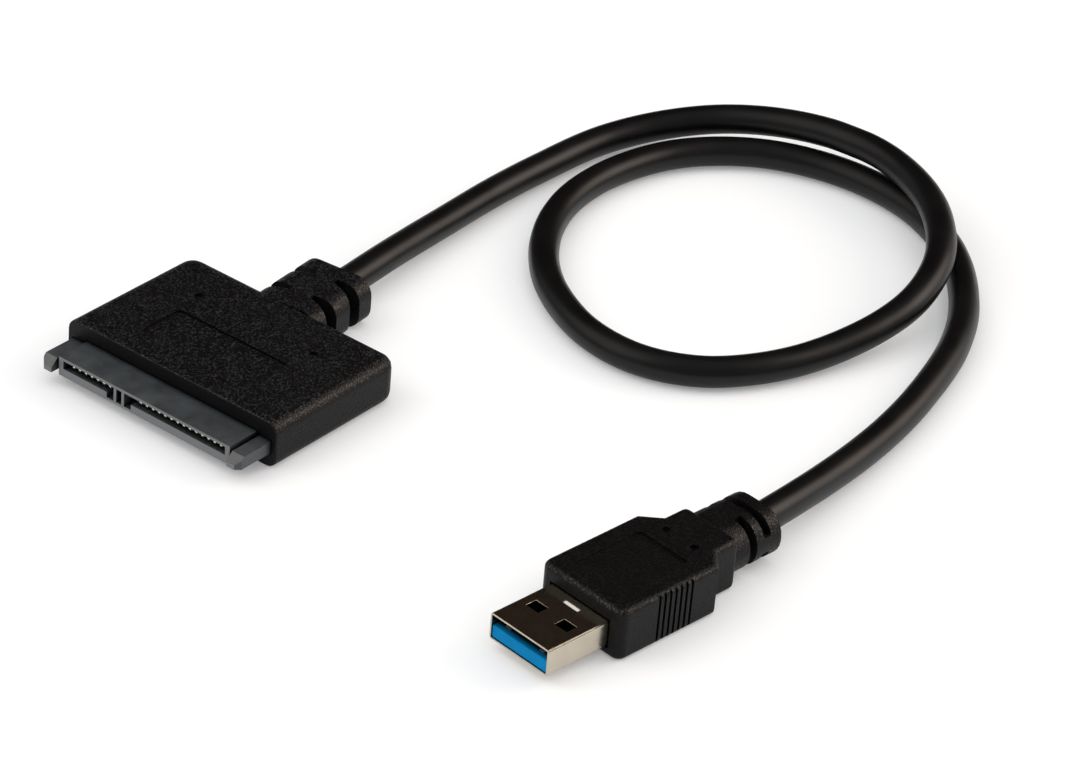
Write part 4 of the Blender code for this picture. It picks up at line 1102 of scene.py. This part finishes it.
def make_floor_paper(name, scene):
    """Pale seamless paper: it takes the shadows, and glows to white for what looks at it."""
    material = bpy.data.materials.new(name)
    tree = cleared_tree(material)
    paper = (*scene.adapter_colours.floor, 1.0)
    diffuse = add_node(tree, "ShaderNodeBsdfDiffuse", {"Color": paper})
    inputs = {"Color": WHITE, "Strength": glow_level(tree)}
    glow = add_node(tree, "ShaderNodeEmission", inputs)
    both = add_node(tree, "ShaderNodeAddShader")
    tree.links.new(diffuse.outputs["BSDF"], both.inputs[0])
    tree.links.new(glow.outputs["Emission"], both.inputs[1])
    add_node(tree, "ShaderNodeOutputMaterial", {"Surface": both.outputs["Shader"]})
    return material


def make_dark_paper(name):
    """Paper of one dark tone, whatever the light."""
    material = bpy.data.materials.new(name)
    tree = cleared_tree(material)
    glow = add_node(tree, "ShaderNodeEmission", {"Color": (*to_linear(CARD_COLOUR), 1.0)})
    add_node(tree, "ShaderNodeOutputMaterial", {"Surface": glow.outputs["Emission"]})
    return material


def looking_back(direction, distance):
    """A place at this distance from the stage's middle that looks back at it."""
    outward = Vector(direction).normalized()
    turn = outward.to_track_quat("Z", "Y").to_matrix().to_4x4()
    return Matrix.Translation(STAGE_MIDDLE + outward * distance) @ turn


def plane_mesh(name, width, height, material):
    """A flat sheet on the ground plane, in one material."""
    shape = bmesh.new()
    bmesh.ops.create_grid(shape, x_segments=1, y_segments=1, size=0.5)
    shape.transform(Matrix.Diagonal((width, height, 1.0, 1.0)))
    mesh = mesh_from(shape, name)
    mesh.materials.append(material)
    return mesh


def add_floor(scene):
    """The paper floor, just under the adapter."""
    paper = make_floor_paper("floor_paper", scene)
    floor_mesh = plane_mesh("floor", FLOOR_SIZE, FLOOR_SIZE, paper)
    floor_mesh.transform(Matrix.Translation((0.0, 0.0, -FLOOR_DROP)))
    floor = add_object("floor", floor_mesh)


def add_dark_card():
    """The dark card, which is only mirrored: it isn't seen, and takes no light away."""
    paper = make_dark_paper("dark_card_paper")
    card = add_object("dark_card", plane_mesh("dark_card", *CARD_SIZE, paper))
    card.matrix_world = looking_back(CARD_DIRECTION, CARD_DISTANCE)
    card.visible_camera = False
    card.visible_diffuse = False
    card.visible_transmission = False
    card.visible_shadow = False


def add_softboxes():
    """The square lamps, each facing the stage's middle."""
    for name, (direction, size, power, tint, lights, mirrored) in SOFTBOXES.items():
        data = bpy.data.lights.new(name, "AREA")
        data.shape = "SQUARE"
        data.size = size
        data.energy = power
        data.color = to_linear(tint)
        lamp = add_object(name, data)
        lamp.matrix_world = looking_back(direction, LIGHT_DISTANCE)
        lamp.visible_diffuse = lights
        lamp.visible_glossy = mirrored


def studio_world():
    """A white world whose strength depends on what looks at it."""
    world = bpy.data.worlds.new("studio")
    tree = cleared_tree(world)
    inputs = {"Color": WHITE, "Strength": sky_level(tree)}
    back = add_node(tree, "ShaderNodeBackground", inputs)
    add_node(tree, "ShaderNodeOutputWorld", {"Surface": back.outputs["Background"]})
    return world


class ADAPTER_OT_stage(bpy.types.Operator):
    """Makes the floor, the background, the lights and the dark card that the metal reflects"""

    bl_idname = "adapter.stage"
    bl_label = "Stage"

    def execute(self, context):
        add_floor(context.scene)
        add_dark_card()
        add_softboxes()
        context.scene.world = studio_world()
        context.scene.view_settings.view_transform = "Standard"
        return {"FINISHED"}


OPERATORS = (
    ADAPTER_OT_camera,
    ADAPTER_OT_cord,
    ADAPTER_OT_drive_housing,
    ADAPTER_OT_receptacle,
    ADAPTER_OT_drive_contacts,
    ADAPTER_OT_inner_parts,
    ADAPTER_OT_usb_plug,
    ADAPTER_OT_declare_cord,
    ADAPTER_OT_stage,
)


class ADAPTER_PT_panel(bpy.types.Panel):
    """Lists the adapter's pieces in the 3D view's sidebar"""

    bl_idname = "ADAPTER_PT_panel"
    bl_label = "USB to SATA adapter"
    bl_space_type = "VIEW_3D"
    bl_region_type = "UI"
    bl_category = "Adapter"

    def draw(self, context):
        for group in (context.scene.adapter_sizes, context.scene.adapter_colours):
            for name in group.__annotations__:
                self.layout.prop(group, name)
        for operator in OPERATORS:
            self.layout.operator(operator.bl_idname)


CLASSES = (AdapterSizes, AdapterColours, *OPERATORS, ADAPTER_PT_panel)


def register():
    for cls in CLASSES:
        bpy.utils.register_class(cls)
    bpy.types.Scene.adapter_sizes = bpy.props.PointerProperty(type=AdapterSizes)
    bpy.types.Scene.adapter_colours = bpy.props.PointerProperty(type=AdapterColours)


def unregister():
    del bpy.types.Scene.adapter_colours
    del bpy.types.Scene.adapter_sizes
    for cls in reversed(CLASSES):
        bpy.utils.unregister_class(cls)


def main():
    register()
    for operator in OPERATORS:
        group, name = operator.bl_idname.split(".")
        getattr(getattr(bpy.ops, group), name)()


if __name__ == "__main__":
    main()
